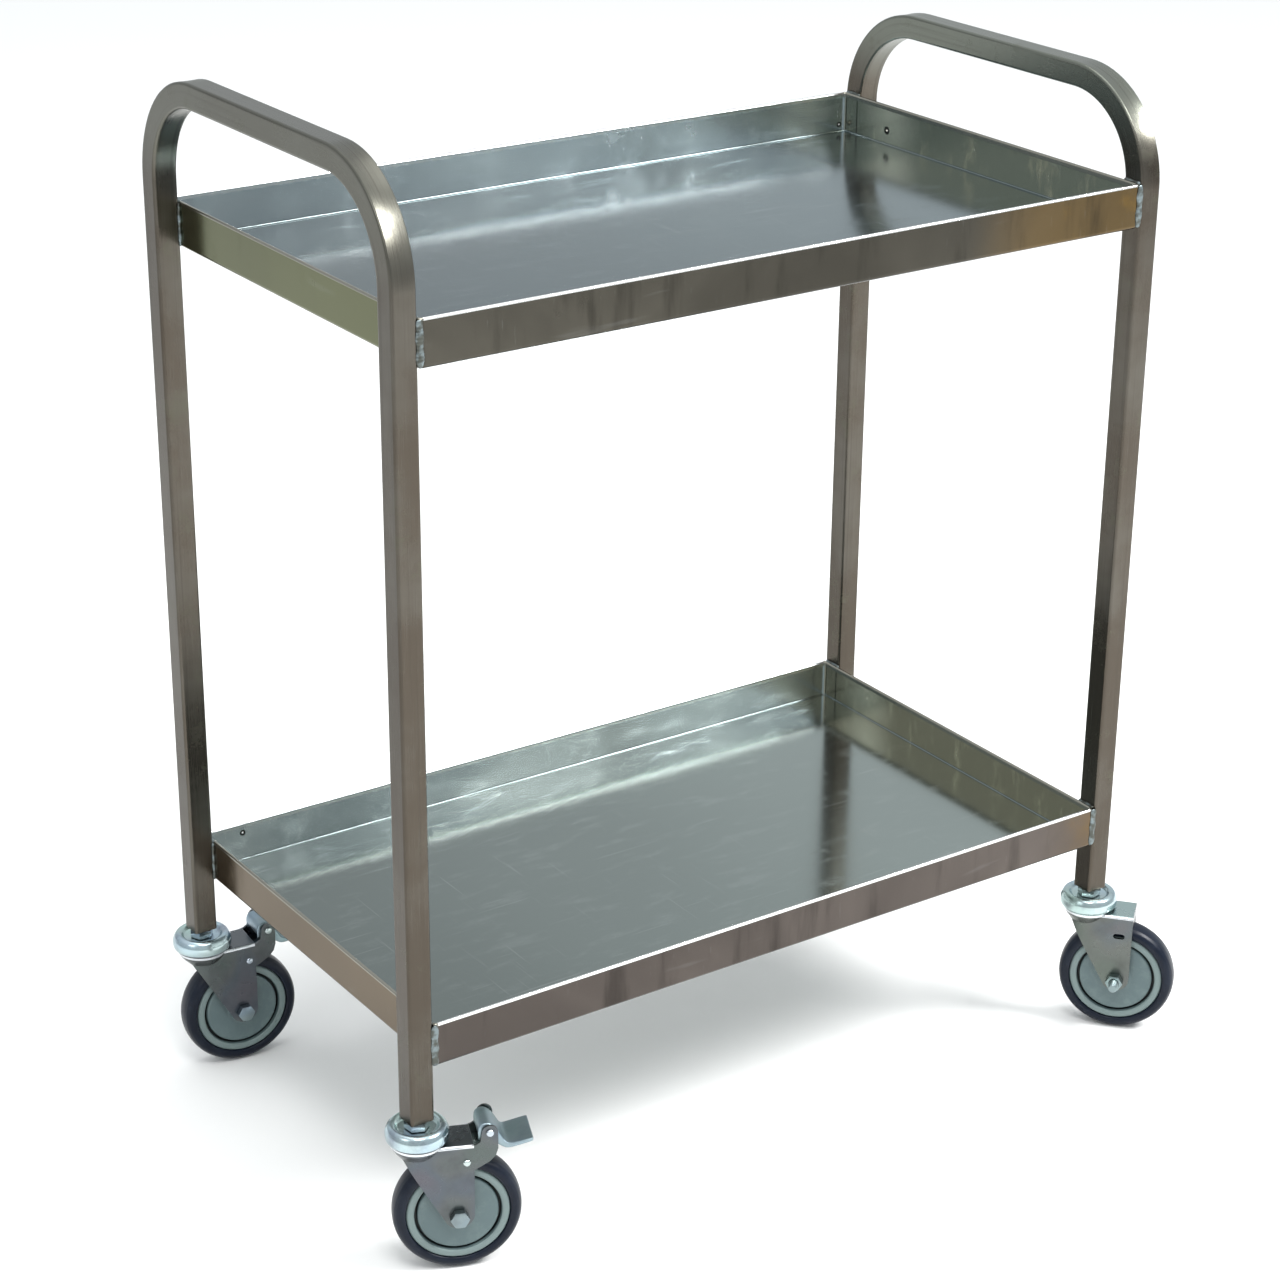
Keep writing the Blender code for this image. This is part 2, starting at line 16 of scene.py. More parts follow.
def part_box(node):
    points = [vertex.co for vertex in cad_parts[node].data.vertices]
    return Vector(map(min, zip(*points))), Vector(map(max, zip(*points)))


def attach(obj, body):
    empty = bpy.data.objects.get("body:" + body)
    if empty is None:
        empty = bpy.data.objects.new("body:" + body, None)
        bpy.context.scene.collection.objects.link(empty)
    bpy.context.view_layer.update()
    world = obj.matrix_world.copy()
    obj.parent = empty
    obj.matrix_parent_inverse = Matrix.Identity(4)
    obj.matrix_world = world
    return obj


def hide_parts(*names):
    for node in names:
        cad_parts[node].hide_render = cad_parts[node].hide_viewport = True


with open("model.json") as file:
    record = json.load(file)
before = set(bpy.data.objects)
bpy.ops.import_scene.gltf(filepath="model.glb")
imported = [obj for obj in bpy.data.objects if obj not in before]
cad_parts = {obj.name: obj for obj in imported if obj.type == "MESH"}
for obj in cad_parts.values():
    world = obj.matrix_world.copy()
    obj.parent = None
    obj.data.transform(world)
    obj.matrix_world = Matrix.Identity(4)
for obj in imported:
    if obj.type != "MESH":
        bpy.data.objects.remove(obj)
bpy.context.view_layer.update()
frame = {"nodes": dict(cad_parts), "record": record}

MM = 0.001
joints = {j["name"]: j for j in frame["record"]["behaviour"]["joints"]}

# %% [markdown]
# Everything is placed from two facts of the record: where each caster's swivel axis stands, and
# which way its axle points at rest. The middle of the four swivel axes is the cart's own centre.

# %% Where the cart stands
CASTER_KEYS = ("fl", "bl", "fr", "br")
swivel_at = {k: Vector(joints["caster_swivel_" + k]["pos_m"]) for k in CASTER_KEYS}
CENTRE = sum(swivel_at.values(), Vector()) / 4
CENTRE.z = 0.0
LEG_X = abs(swivel_at["fl"].x - CENTRE.x)
LEG_Y = abs(swivel_at["fl"].y - CENTRE.y)


def caster_matrix(key):
    """The caster's own axes, wheel trailing along +X: turned by its heading, stood on the floor."""
    ax = joints["wheel_spin_" + key]["axis"]
    heading = math.atan2(-ax[0], ax[1])
    foot = Vector((swivel_at[key].x, swivel_at[key].y, 0))
    return Matrix.Translation(foot) @ Matrix.Rotation(heading, 4, 'Z')


print("legs at x ±%.1f mm, y ±%.1f mm" % (LEG_X / MM, LEG_Y / MM))

# %% [markdown]
# ## Making surfaces
# A surface is a grid of points worked out as one numpy array: one index runs along the piece and
# the other round it. Closing the grid both ways gives a hollow ring or a hollow tube, and closing
# it one way with a flat cap at each end gives a solid bar. One function turns any grid into a mesh.


# %% Grid to mesh
def grid_faces(nu, nv, close_u, close_v, caps, base=0):
    """Each grid cell is one quad; a closed direction joins its last row to its first."""
    i, j = np.meshgrid(np.arange(nu if close_u else nu - 1),
                       np.arange(nv if close_v else nv - 1), indexing="ij")
    i2, j2 = (i + 1) % nu, (j + 1) % nv
    quads = np.stack([i * nv + j, i2 * nv + j, i2 * nv + j2, i * nv + j2], -1).reshape(-1, 4)
    faces = (quads + base).tolist()
    if caps:
        faces.append((np.arange(nv)[::-1] + base).tolist())
        faces.append((np.arange(nv) + (nu - 1) * nv + base).tolist())
    return faces


def build(name, grids, matrix=None, weld=True, zones=None, uvs=None):
    """Joins grids (points, close_u, close_v, caps), in millimetres, into one mesh facing out."""
    points, faces, base = [], [], 0
    for g, close_u, close_v, caps in grids:
        nu, nv, _ = g.shape
        points.append(g.reshape(-1, 3))
        faces += grid_faces(nu, nv, close_u, close_v, caps, base)
        base += nu * nv
    co = np.concatenate(points) * MM
    mesh = bpy.data.meshes.new(name)
    mesh.from_pydata(co.tolist(), [], faces)
    if uvs is not None:
        flat = np.concatenate([u.reshape(-1, 2) for u in uvs])
        corner = np.empty(len(mesh.loops), dtype=np.int32)
        mesh.loops.foreach_get("vertex_index", corner)
        layer = mesh.uv_layers.new(name="along")
        layer.data.foreach_set("uv", flat[corner].ravel().astype(np.float32))
    if zones is not None:
        att = mesh.attributes.new("zone", 'FLOAT', 'POINT')
        att.data.foreach_set("value", np.concatenate([z.ravel() for z in zones]).astype(np.float32))
    bm = bmesh.new()
    bm.from_mesh(mesh)
    if weld:
        bmesh.ops.remove_doubles(bm, verts=bm.verts, dist=2e-6)
    bmesh.ops.recalc_face_normals(bm, faces=bm.faces)
    if matrix is not None:
        bmesh.ops.transform(bm, matrix=matrix, verts=bm.verts)
    bm.to_mesh(mesh)
    bm.free()
    return mesh


def stood(name, mesh):
    """An object at the origin, in the scene."""
    obj = bpy.data.objects.new(name, mesh)
    bpy.context.scene.collection.objects.link(obj)
    return obj


def taken(obj, helpers=()):
    """The object's mesh with its modifiers run; the object and its helpers are then removed."""
    graph = bpy.context.evaluated_depsgraph_get()
    graph.update()
    mesh = bpy.data.meshes.new_from_object(obj.evaluated_get(graph))
    for used in [obj, *helpers]:
        bpy.data.objects.remove(used, do_unlink=True)
    return mesh


def positions(mesh):
    """Every vertex as one row of x, y, z in metres."""
    co = np.empty(len(mesh.vertices) * 3)
    mesh.vertices.foreach_get("co", co)
    return co.reshape(-1, 3)


# %% [markdown]
# Turned pieces (washers, caps, tyres) share one formula: every profile point (radius, height) goes
# round the axis. Real turned or pressed edges are never razor sharp, so `eased` first rounds each
# corner of the profile with a short curve.


# %% Turned surfaces and flat prisms
def eased(profile, reach, steps=4, closed=False):
    """Each corner becomes a quadratic curve from `reach` before it to `reach` after it."""
    p = np.asarray(profile, float)
    n = len(p)
    out = []
    for k in range(n):
        if not closed and k in (0, n - 1):
            out.append(p[k][None])
            continue
        a, b, c = p[k - 1], p[k], p[(k + 1) % n]
        la, lc = np.linalg.norm(a - b), np.linalg.norm(c - b)
        start = b + (a - b) / la * min(reach, la * 0.45)
        end = b + (c - b) / lc * min(reach, lc * 0.45)
        t = np.linspace(0, 1, steps)[:, None]
        out.append((1 - t) ** 2 * start + 2 * t * (1 - t) * b + t ** 2 * end)
    return np.concatenate(out)


def turned(profile, segments=72, closed=False):
    """Point (r, z) of the profile at angle a becomes (r cos a, r sin a, z)."""
    p = np.asarray(profile, float)
    a = np.linspace(0, 2 * np.pi, segments, endpoint=False)
    r, z = p[:, :1], p[:, 1:]
    g = np.stack([r * np.cos(a), r * np.sin(a), z + 0 * a], -1)
    return g, closed, True, False


def rod(radius, z0, z1, segments):
    """A plain round bar from height z0 to z1."""
    return turned([(0, z1), (radius, z1), (radius, z0), (0, z0)], segments)


def prism(outline, z0, z1):
    """The outline at z0 and again at z1, with flat ends."""
    o = np.asarray(outline, float)
    ends = [np.column_stack([o, np.full(len(o), z)]) for z in (z0, z1)]
    return np.stack(ends), False, True, True


def arc(cx, cy, radius, a0, a1, n):
    """Points on a circle from angle a0 to a1, in degrees."""
    a = np.radians(np.linspace(a0, a1, n))
    return np.column_stack([cx + radius * np.cos(a), cy + radius * np.sin(a)])


def hexagon_radius(a, across_flats):
    """Distance from the middle of a hexagon to its side in direction a."""
    sixth = np.pi / 3
    return across_flats / 2 / np.cos((a % sixth) - sixth / 2)


def hex_bar(across_flats, z0, z1, bore=0.0):
    """Hexagonal bar; the outer end's height falls along a cone past the flats, as on a real nut."""
    a = np.linspace(0, 2 * np.pi, 96, endpoint=False)
    r = hexagon_radius(a, across_flats)
    inner = across_flats / 2 * 0.93
    drop = 0.55 * np.maximum(r - inner, 0)
    sign = 1 if z1 > z0 else -1
    rings = [(np.full_like(a, bore), z0 + 0 * a), (r, z0 + 0 * a), (r, z1 - sign * drop),
             (np.full_like(a, inner), z1 + 0 * a), (np.full_like(a, bore), z1 + 0 * a)]
    g = np.stack([np.stack([rr * np.cos(a), rr * np.sin(a), zz], -1) for rr, zz in rings])
    return g, bore > 0, True, False


# %% [markdown]
# ## Finishes
# A finish is a Principled shader with patterns feeding its colour, roughness and bump. Writing the
# patterns as ordinary arithmetic is far easier to read than wiring nodes by hand, so a small class
# wraps a node's output and turns `+`, `-`, `*` and `abs` into Math nodes.


# %% Shader arithmetic
class Wire:
    """A value inside a material. Arithmetic on it adds Math nodes."""

    def __init__(self, finish, socket):
        self.finish, self.socket = finish, socket

    def math(self, operation, *values):
        return self.finish.node("ShaderNodeMath", {"operation": operation},
                                dict(enumerate(values)))

    def __add__(self, other): return self.math('ADD', self, other)
    def __radd__(self, other): return self.math('ADD', other, self)
    def __sub__(self, other): return self.math('SUBTRACT', self, other)
    def __rsub__(self, other): return self.math('SUBTRACT', other, self)
    def __mul__(self, other): return self.math('MULTIPLY', self, other)
    def __rmul__(self, other): return self.math('MULTIPLY', other, self)
    def __abs__(self): return self.math('ABSOLUTE', self)

    def rise(self, low, high):
        """0 below low, 1 above high, a smooth slope between."""
        return self.finish.node("ShaderNodeMapRange", {"interpolation_type": 'SMOOTHSTEP'},
                                {"Value": self, "From Min": low, "From Max": high})


class Finish:
    """One material: a Principled shader and the methods that pattern it."""

    def __init__(self, name, colour, roughness, metallic, **fixed):
        self.material = bpy.data.materials.new(name)
        self.material.use_nodes = True
        self.tree = self.material.node_tree
        self.shader = self.tree.nodes["Principled BSDF"]
        self.material.diffuse_color = (*colour, 1)
        self.feed("Base Color", (*colour, 1))
        self.feed("Roughness", roughness)
        self.feed("Metallic", metallic)
        for socket, value in fixed.items():
            self.feed(socket.replace("_", " "), value)

    def feed(self, socket, value):
        if isinstance(value, Wire):
            self.tree.links.new(value.socket, self.shader.inputs[socket])
        else:
            self.shader.inputs[socket].default_value = value

    def node(self, kind, settings=None, sockets=None, out=0):
        n = self.tree.nodes.new(kind)
        for key, value in (settings or {}).items():
            if key == "stops":
                while len(n.color_ramp.elements) < len(value):
                    n.color_ramp.elements.new(0.5)
                for e, (at, colour) in zip(n.color_ramp.elements, value):
                    e.position, e.color = at, (*colour, 1)
            else:
                setattr(n, key, value)
        for key, value in (sockets or {}).items():
            if isinstance(value, Wire):
                self.tree.links.new(value.socket, n.inputs[key])
            else:
                n.inputs[key].default_value = value
        return Wire(self, n.outputs[out])

    def place(self, scale=(1, 1, 1), shift=(0, 0, 0), turn=(0, 0, 0), source="Object"):
        """Position on the piece in metres, stretched for a pattern."""
        where = self.node("ShaderNodeTexCoord", out=source)
        return self.node("ShaderNodeMapping", None,
                         {"Vector": where, "Scale": scale, "Location": shift, "Rotation": turn})

    def noise(self, scale, stretch=(1, 1, 1), detail=3.0, rough=0.5, shift=(0, 0, 0),
              turn=(0, 0, 0), source="Object", distort=0.0):
        return self.node("ShaderNodeTexNoise", None, {
            "Vector": self.place(stretch, shift, turn, source), "Scale": scale,
            "Detail": detail, "Roughness": rough, "Distortion": distort})

    def axis(self, index):
        """One coordinate of the position on the piece, in metres."""
        return self.node("ShaderNodeSeparateXYZ", None, {"Vector": self.place()}, out=index)

    def mix(self, a, b, amount):
        """Colour a turning into colour b."""
        a, b = (c if isinstance(c, Wire) else (*c, 1) for c in (a, b))
        return self.node("ShaderNodeMix", {"data_type": 'RGBA'}, {0: amount, 6: a, 7: b}, out=2)

    def away(self, point):
        """Distance from a point, in metres."""
        return self.node("ShaderNodeVectorMath", {"operation": 'DISTANCE'},
                         {0: self.place(), 1: point}, out=1)

    def value(self, attribute):
        """A number stored on the mesh's points."""
        return self.node("ShaderNodeAttribute", {"attribute_name": attribute}, out="Fac")

    def bump(self, height, distance, strength=1.0, under=None):
        sockets = {"Height": height, "Distance": distance, "Strength": strength}
        if under is not None:
            sockets["Normal"] = under
        return self.node("ShaderNodeBump", None, sockets)


# %% [markdown]
# The end frames are mill-finished stainless tube: fine drawn lines run along the length, and
# handling leaves cloudier patches. The lines follow the tube round its bends, so they read a UV
# map that holds metres along the tube and metres round it.


# %% Tube steel
def tube_steel():
    f = Finish("drawn_tube_steel", (0.13, 0.12, 0.105), 0.3, 1.0)
    lines = f.noise(1.0, (14, 2600, 1), detail=4, rough=0.65, source="UV")
    bands = f.noise(1.0, (3, 260, 1), detail=2, source="UV", shift=(3, 7, 0))
    cloud = f.noise(7.0, detail=4, rough=0.6)
    patch = cloud.rise(0.38, 0.68)
    worn = f.noise(38.0, detail=5, rough=0.7, shift=(1, 2, 3)).rise(0.55, 0.72)
    colour = f.mix((0.076, 0.064, 0.051), (0.112, 0.104, 0.089), patch)
    # painted reflection: the tube is lighter and greener up at the two handles than on the legs,
    # the right handle most
    handle = f.axis(2).rise(0.765, 0.83) * (0.35 + 0.5 * f.axis(0).rise(-0.2, 0.2))
    colour = f.mix(colour, (0.20, 0.215, 0.185), handle)
    colour = f.mix(colour, (0.055, 0.048, 0.04), bands.rise(0.5, 0.75) * 0.45)
    colour = f.mix(colour, (0.24, 0.24, 0.225), lines.rise(0.55, 0.8) * 0.35)
    colour = f.mix(colour, (0.11, 0.112, 0.08), worn * 0.35)
    f.feed("Base Color", colour)
    f.feed("Roughness", 0.19 + 0.12 * lines + 0.08 * patch + 0.06 * worn)
    f.feed("Normal", f.bump(lines, 0.00006, 0.35, f.bump(cloud, 0.0006, 0.12)))
    return f.material


TUBE = tube_steel()

# %% [markdown]
# The pans are bright sheet of one steel, painted a reflection tone of its own on each part of the
# section: a cool grey cast on the floors, which are nearly a mirror, a dark brown-grey on the
# outsides, a light tone on the inner walls and white on the folded rim as a painted highlight. A
# `zone` value stored on the mesh says which part of the section a point is on: -1 underside, 0
# outer wall, 1 rim, 2 inner wall, 2.5 the fold at its foot, 3 floor. The outer walls turn
# straw-coloured towards the right ends, and the left end plate has a painted olive reflection.


# %% Tray steel
LEFT_PLATE = (-0.3275, -0.3255)        # where an end plate begins, in metres from the middle
RIGHT_PLATE = (0.3245, 0.3262)
RIM_END = (0.3225, 0.3240)
SEAM_MIDDLE, SEAM_HALF = 0.1775, 0.0075
# where the painted golden highlight sits near the far right corner, in metres, and how far it
# spreads
HIGHLIGHT_X, HIGHLIGHT_Y, HIGHLIGHT_BELOW_RIM, HIGHLIGHT_REACH = 0.3262, 0.122, 0.014, 0.05
HOLE_SHADE_EDGES = (1.35, 1.6)                     # inner and outer edge of the painted shade round a hole, in drill radii


def scaled(colour, factor):
    return tuple(c * factor for c in colour)


def tray_steel(name, rim_z, floor_reflection, haze, skirt, straw_from, left_plate_reflection, right_plate, holes):
    f = Finish(name, (0.45, 0.47, 0.46), 0.15, 1.0)
    x, y = f.axis(0) - CENTRE.x, f.axis(1) - CENTRE.y
    zone = f.value("zone")
    wall, rim, inner, floor = (zone.rise(k - 0.8, k - 0.2) for k in range(4))
    cloud = f.noise(4.0, detail=4, rough=0.55, distort=0.6)
    drift = f.noise(1.6, detail=2, shift=(4, 1, 0))
    rub = f.noise(1.0, (9, 420, 60), detail=3, turn=(0, 0, 0.5))
    rub2 = f.noise(1.0, (500, 10, 60), detail=3, turn=(0, 0, 0.35), shift=(5, 5, 5))
    scratches = rub.rise(0.66, 0.74) + rub2.rise(0.67, 0.75)
    smear = f.noise(22.0, (1, 2.6, 1), detail=5, rough=0.65, shift=(2, 9, 1)).rise(0.5, 0.75)

    # outer walls: a dark brown-grey painted reflection with clouds, the left plate's painted olive
    # reflection, straw tint to the right and dark streaks
    outside = f.mix(skirt, scaled(skirt, 1.6), cloud.rise(0.35, 0.7))
    left_end = 1 - x.rise(*LEFT_PLATE)
    outside = f.mix(outside, left_plate_reflection, left_end * (0.55 + 0.4 * cloud))
    straw = (x + 0.16 * (cloud - 0.5)).rise(straw_from, straw_from + 0.09)
    outside = f.mix(outside, (0.155, 0.095, 0.028), straw * (0.45 + 0.5 * smear))
    streak = f.noise(1.0, (34, 34, 5), detail=4, rough=0.6, shift=(7, 3, 0)).rise(0.5, 0.72)
    outside = f.mix(outside, scaled(skirt, 0.35), streak * 0.6 * (1 - left_end))

    # inner walls: a light painted reflection, darker and warmer on the right plate, with a painted
    # golden highlight near the far right corner, dark seams and painted shade round the drilled
    # holes
    inside = f.mix((0.55, 0.60, 0.62), (0.78, 0.82, 0.82), cloud.rise(0.3, 0.7))
    right_end = x.rise(*RIGHT_PLATE)
    inside = f.mix(inside, f.mix(right_plate, (0.58, 0.53, 0.38), smear), right_end)
    # painted highlight: a golden spot of light just under the rim on the right plate
    highlight_spot = CENTRE + Vector((HIGHLIGHT_X, HIGHLIGHT_Y, rim_z - HIGHLIGHT_BELOW_RIM))
    inside = f.mix(inside, (1.0, 0.93, 0.74), (1 - f.away(highlight_spot).rise(0.0, HIGHLIGHT_REACH)) * 0.7)
    seam = 1 - abs(abs(y - SEAM_MIDDLE) - SEAM_HALF).rise(0.0004, 0.0012)
    inside = f.mix(inside, (0.05, 0.045, 0.04), seam * right_end * 0.85)
    for place, _, radius in holes:
        away = f.away(CENTRE + Vector(place) * MM)
        # painted shade: a near-black disc, wider than the cut hole, stands for the dark inside it
        hole_shade = 0.95 - 0.95 * away.rise(*(radius * edge * MM for edge in HOLE_SHADE_EDGES))
        inside = f.mix(inside, (0.03, 0.028, 0.025), hole_shade)

    # floor: a cool painted reflection, darker to the left and lighter to the right as a painted
    # reflection gradient, with a light haze of wiping
    base = f.mix(scaled(floor_reflection, 0.72), scaled(floor_reflection, 1.35),
                 (x + 0.5 * (drift - 0.5)).rise(-0.35, 0.35))
    base = f.mix(base, (0.78, 0.82, 0.82), smear * haze)

    # the parts of the section in turn, then the fold's shade and the scratches over all of them
    colour = f.mix((0.50, 0.52, 0.51), outside, wall)
    # painted highlight: the rim is near white, darker along the end plates
    edge = f.mix((0.85, 0.86, 0.85), (0.30, 0.29, 0.25), abs(x).rise(*RIM_END))
    for shown, mask in ((edge, rim), (inside, inner), (base, floor)):
        colour = f.mix(colour, shown, mask)
    foot = 1 - abs(zone - 2.5).rise(0.1, 0.4)
    colour = f.mix(colour, (0.16, 0.19, 0.19), foot * (0.55 + 0.6 * cloud))
    colour = f.mix(colour, (0.7, 0.72, 0.72), scratches * (0.03 + 0.09 * inner))
    f.feed("Base Color", colour)
    f.feed("Roughness", 0.16 + 0.05 * cloud + 0.10 * smear + 0.05 * scratches - 0.05 * floor)
    wave = f.bump(drift, 0.006, 0.10)
    f.feed("Normal", f.bump(scratches, 0.00004, 0.2, wave))
    return f.material


DRAIN_HOLES = {  # place from the cart's centre, the axis its drill turns about, radius, in mm
    "top": [((LEG_X / MM - 10, 127.8, 735.0), 'Y', 2.6),
            ((320.6, LEG_Y / MM + 10, 729.0), 'X', 1.8)],
    "bottom": [((-291.1, LEG_Y / MM + 10, 203.0), 'X', 2.0)]}
RIM_Z = {label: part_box(label + "_tray")[1][2] for label in ("top", "bottom")}
# each pan: the floor's painted reflection tone, its wiping haze, the outer walls' painted
# reflection tone, where the straw tint begins, the left plate's painted olive reflection, the right
# plate's tone and the drain holes
PAN_STEEL = {
    "top": tray_steel("top_pan_steel", RIM_Z["top"], (0.148, 0.194, 0.208), 0.06,
                      (0.044, 0.041, 0.034), 0.15, (0.135, 0.146, 0.072), (0.34, 0.345, 0.27),
                      DRAIN_HOLES["top"]),
    "bottom": tray_steel("bottom_pan_steel", RIM_Z["bottom"], (0.245, 0.28, 0.265), 0.06,
                         (0.070, 0.060, 0.054), 0.27, (0.128, 0.092, 0.050), (0.38, 0.34, 0.25),
                         DRAIN_HOLES["bottom"])}

# %% [markdown]
# Caster metal is zinc plate: brighter and bluer than stainless, with a faint rainbow from the
# passivation. Bolts, pins and balls are the same plate on smoother steel. A fork's crown top is
# painted a tone of light or shade, lit teal on the plain forks and shaded dark on the braked ones,
# and its rolled edge carries a painted white highlight; `trail`, stored on the fork's points, is
# how far each lies behind the swivel axis, so that the horns behind the crown keep the plate's
# finish.


# %% Zinc plate
CROWN_BACK = (0.0405, 0.0411)          # where the crown ends behind the swivel axis, in metres
ROLL_LOW, ROLL_HIGH = (0.1098, 0.1104), (0.1119, 0.1124)    # heights of its rolled edge, where the painted highlight starts and where the crown's painted tone takes over


def zinc(name, light, dark, roughness, crown=None):
    f = Finish(name, light, roughness, 1.0)
    cloud = f.noise(45.0, detail=4, rough=0.6)
    hue = f.noise(26.0, detail=1, shift=(2, 5, 1))
    r, g, b = light
    tint = f.node("ShaderNodeValToRGB", {"stops": [
        (0.30, (r * 0.82, g * 0.98, b * 0.86)), (0.48, light), (0.62, (r * 0.8, g * 0.9, b * 1.15)),
        (0.78, (r, g * 0.82, b * 1.05))]}, {"Fac": hue})
    colour = f.mix(tint, light, 0.55)
    colour = f.mix(colour, dark, cloud.rise(0.45, 0.8) * 0.6)
    if crown:
        z, on_crown = f.axis(2), 1 - f.value("trail").rise(*CROWN_BACK)
        # painted highlight: a white line along the rolled edge; above it the crown top takes its
        # painted tone of light or shade
        colour = f.mix(colour, (0.80, 0.83, 0.86), z.rise(*ROLL_LOW) * on_crown * 0.85)
        colour = f.mix(colour, crown, z.rise(*ROLL_HIGH) * on_crown)
    f.feed("Base Color", colour)
    f.feed("Roughness", roughness + 0.12 * cloud)
    f.feed("Normal", f.bump(f.noise(260.0, detail=3), 0.00008, 0.25))
    return f.material


# the last colour is the crown top's painted tone: shaded dark on the braked forks, lit teal on the
# plain ones
FORK_ZINC = {
    True: zinc("braked_fork_zinc", (0.108, 0.117, 0.119), (0.066, 0.065, 0.072), 0.22,
               (0.12, 0.13, 0.14)),
    False: zinc("plain_fork_zinc", (0.118, 0.126, 0.118), (0.074, 0.072, 0.072), 0.22,
                (0.36, 0.46, 0.45))}
CAP_ZINC = zinc("cap_zinc", (0.45, 0.55, 0.55), (0.16, 0.16, 0.22), 0.16)
PEDAL_ZINC = zinc("pedal_zinc", (0.27, 0.34, 0.37), (0.17, 0.22, 0.24), 0.34)
BRIGHT = zinc("bright_hardware", (0.50, 0.54, 0.55), (0.26, 0.28, 0.30), 0.16)
HEX_ZINC = zinc("hex_bolt_zinc", (0.22, 0.27, 0.28), (0.12, 0.13, 0.15), 0.26)


# %% [markdown]
# The tyre is a dark blue-grey band, a little lighter where dust sits in its skin. The core is
# moulded grey-green plastic, lighter on the ring at its edge, with painted shade darkening its
# groove, and the plug in each leg is black.


# %% Rubber, core and plug
def moulded(name, colour, dusty, roughness, grain, grooved=False, sheen=0.4):
    f = Finish(name, colour, roughness, 0.0, Specular_IOR_Level=sheen)
    dust = f.noise(60.0, detail=5, rough=0.7).rise(0.42, 0.78)
    skin = f.noise(grain, detail=3)
    tone = f.mix(colour, dusty, dust * 0.5)
    if grooved:
        zone = f.value("zone")
        tone = f.mix(tone, dusty, zone.rise(1.2, 1.8) * 0.8)
        # painted shade: the groove between disc and ring turns near black
        groove = zone.rise(0.2, 0.8) - zone.rise(1.2, 1.8)
        tone = f.mix(tone, scaled(colour, 0.06), groove)
    f.feed("Base Color", tone)
    f.feed("Roughness", roughness + 0.15 * dust)
    f.feed("Normal", f.bump(skin, 0.00012, 0.3))
    return f.material


RUBBER = moulded("tyre_rubber", (0.003, 0.006, 0.014), (0.013, 0.020, 0.034), 0.32, 900.0,
                 sheen=0.2)
CORE = moulded("core_plastic", (0.085, 0.125, 0.130), (0.16, 0.21, 0.205), 0.40, 700.0, True)
PLUG = moulded("plug_plastic", (0.02, 0.02, 0.02), (0.05, 0.05, 0.05), 0.55, 700.0)


# %% [markdown]
# One function finishes a piece: it links the object, shades it smooth with sharp edges kept, says
# which body moves it and which CAD nodes it stands for.


# %% Hand a piece to the frame
def piece(name, mesh, body, material, stands_for=(), crease=32.0, flats=False):
    obj = stood(name, mesh)
    if flats:
        m = obj.modifiers.new("flat faces stay flat", 'WEIGHTED_NORMAL')
        m.mode, m.keep_sharp = 'FACE_AREA', True
    mesh.materials.clear()
    mesh.materials.append(material)
    mesh.shade_smooth()
    mesh.set_sharp_from_angle(angle=math.radians(crease))
    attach(obj, body)
    if stands_for:
        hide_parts(*stands_for)
    return obj


# %% [markdown]
# ## End frames
# Each end frame is one tube bent twice. The section is a square with rounded corners, carried along
# the centre line; the outer skin and the bore are one closed grid, so the tube is really hollow.

# %% Bent square tube
TUBE_SIDE, TUBE_CORNER, TUBE_WALL = 20.0, 2.1, 1.2
BEND = 87.0                            # radius of the outer face
LEG_ROWS, BEND_ROWS, TOP_ROWS = 25, 22, 12
EASE = 18                              # degrees over which a bend's flattening comes and goes


def centre_line(half, top, foot):
    """Up a leg, a quarter circle, across, a quarter circle and down: (y, z), its normal, and 1
    where it is bent."""
    r = BEND - TUBE_SIDE / 2
    rise = np.linspace(foot, top - BEND, LEG_ROWS + 1)
    a = np.radians(np.linspace(180, 90, BEND_ROWS))
    turn_y, turn_z = -half + r + r * np.cos(a), top - BEND + r * np.sin(a)
    flat_y = np.linspace(-half + r, half - r, TOP_ROWS + 2)[1:-1]
    y = np.concatenate([np.full(LEG_ROWS, -half), turn_y, flat_y, -turn_y[::-1],
                        np.full(LEG_ROWS, half)])
    z = np.concatenate([rise[:-1], turn_z, np.full(TOP_ROWS, top - TUBE_SIDE / 2), turn_z[::-1],
                        rise[::-1][1:]])
    n = np.concatenate([np.full(LEG_ROWS, 180.0), np.degrees(a), np.full(TOP_ROWS, 90.0),
                        180 - np.degrees(a)[::-1], np.full(LEG_ROWS, 0.0)])
    n = np.radians(n)
    bent = np.clip(np.minimum((180 - np.degrees(n)), np.degrees(n)) / EASE, 0, 1) * \
        np.clip(np.abs(90 - np.degrees(n)) / EASE, 0, 1)
    return np.column_stack([y, z]), np.column_stack([np.cos(n), np.sin(n)]), bent


def spaced(start, end, inner, margin):
    """Points from start to end: one `margin` in from each end, and `inner` evenly between."""
    length = np.linalg.norm(end - start)
    t = np.concatenate([[margin / length], np.linspace(0, 1, inner + 2)[1:-1],
                        [1 - margin / length]])[:, None]
    return start * (1 - t) + end * t


def section(side, corner, n=5):
    """A square with rounded corners; points close to each curve keep the flats truly flat."""
    h = side / 2 - corner
    quarters = [arc(cx * h, cy * h, corner, a, a + 90, n) for cx, cy, a in
                ((1, -1, -90), (1, 1, 0), (-1, 1, 90), (-1, -1, 180))]
    return np.concatenate([np.vstack([q, spaced(q[-1], quarters[(k + 1) % 4][0], 3, 0.4)])
                           for k, q in enumerate(quarters)])


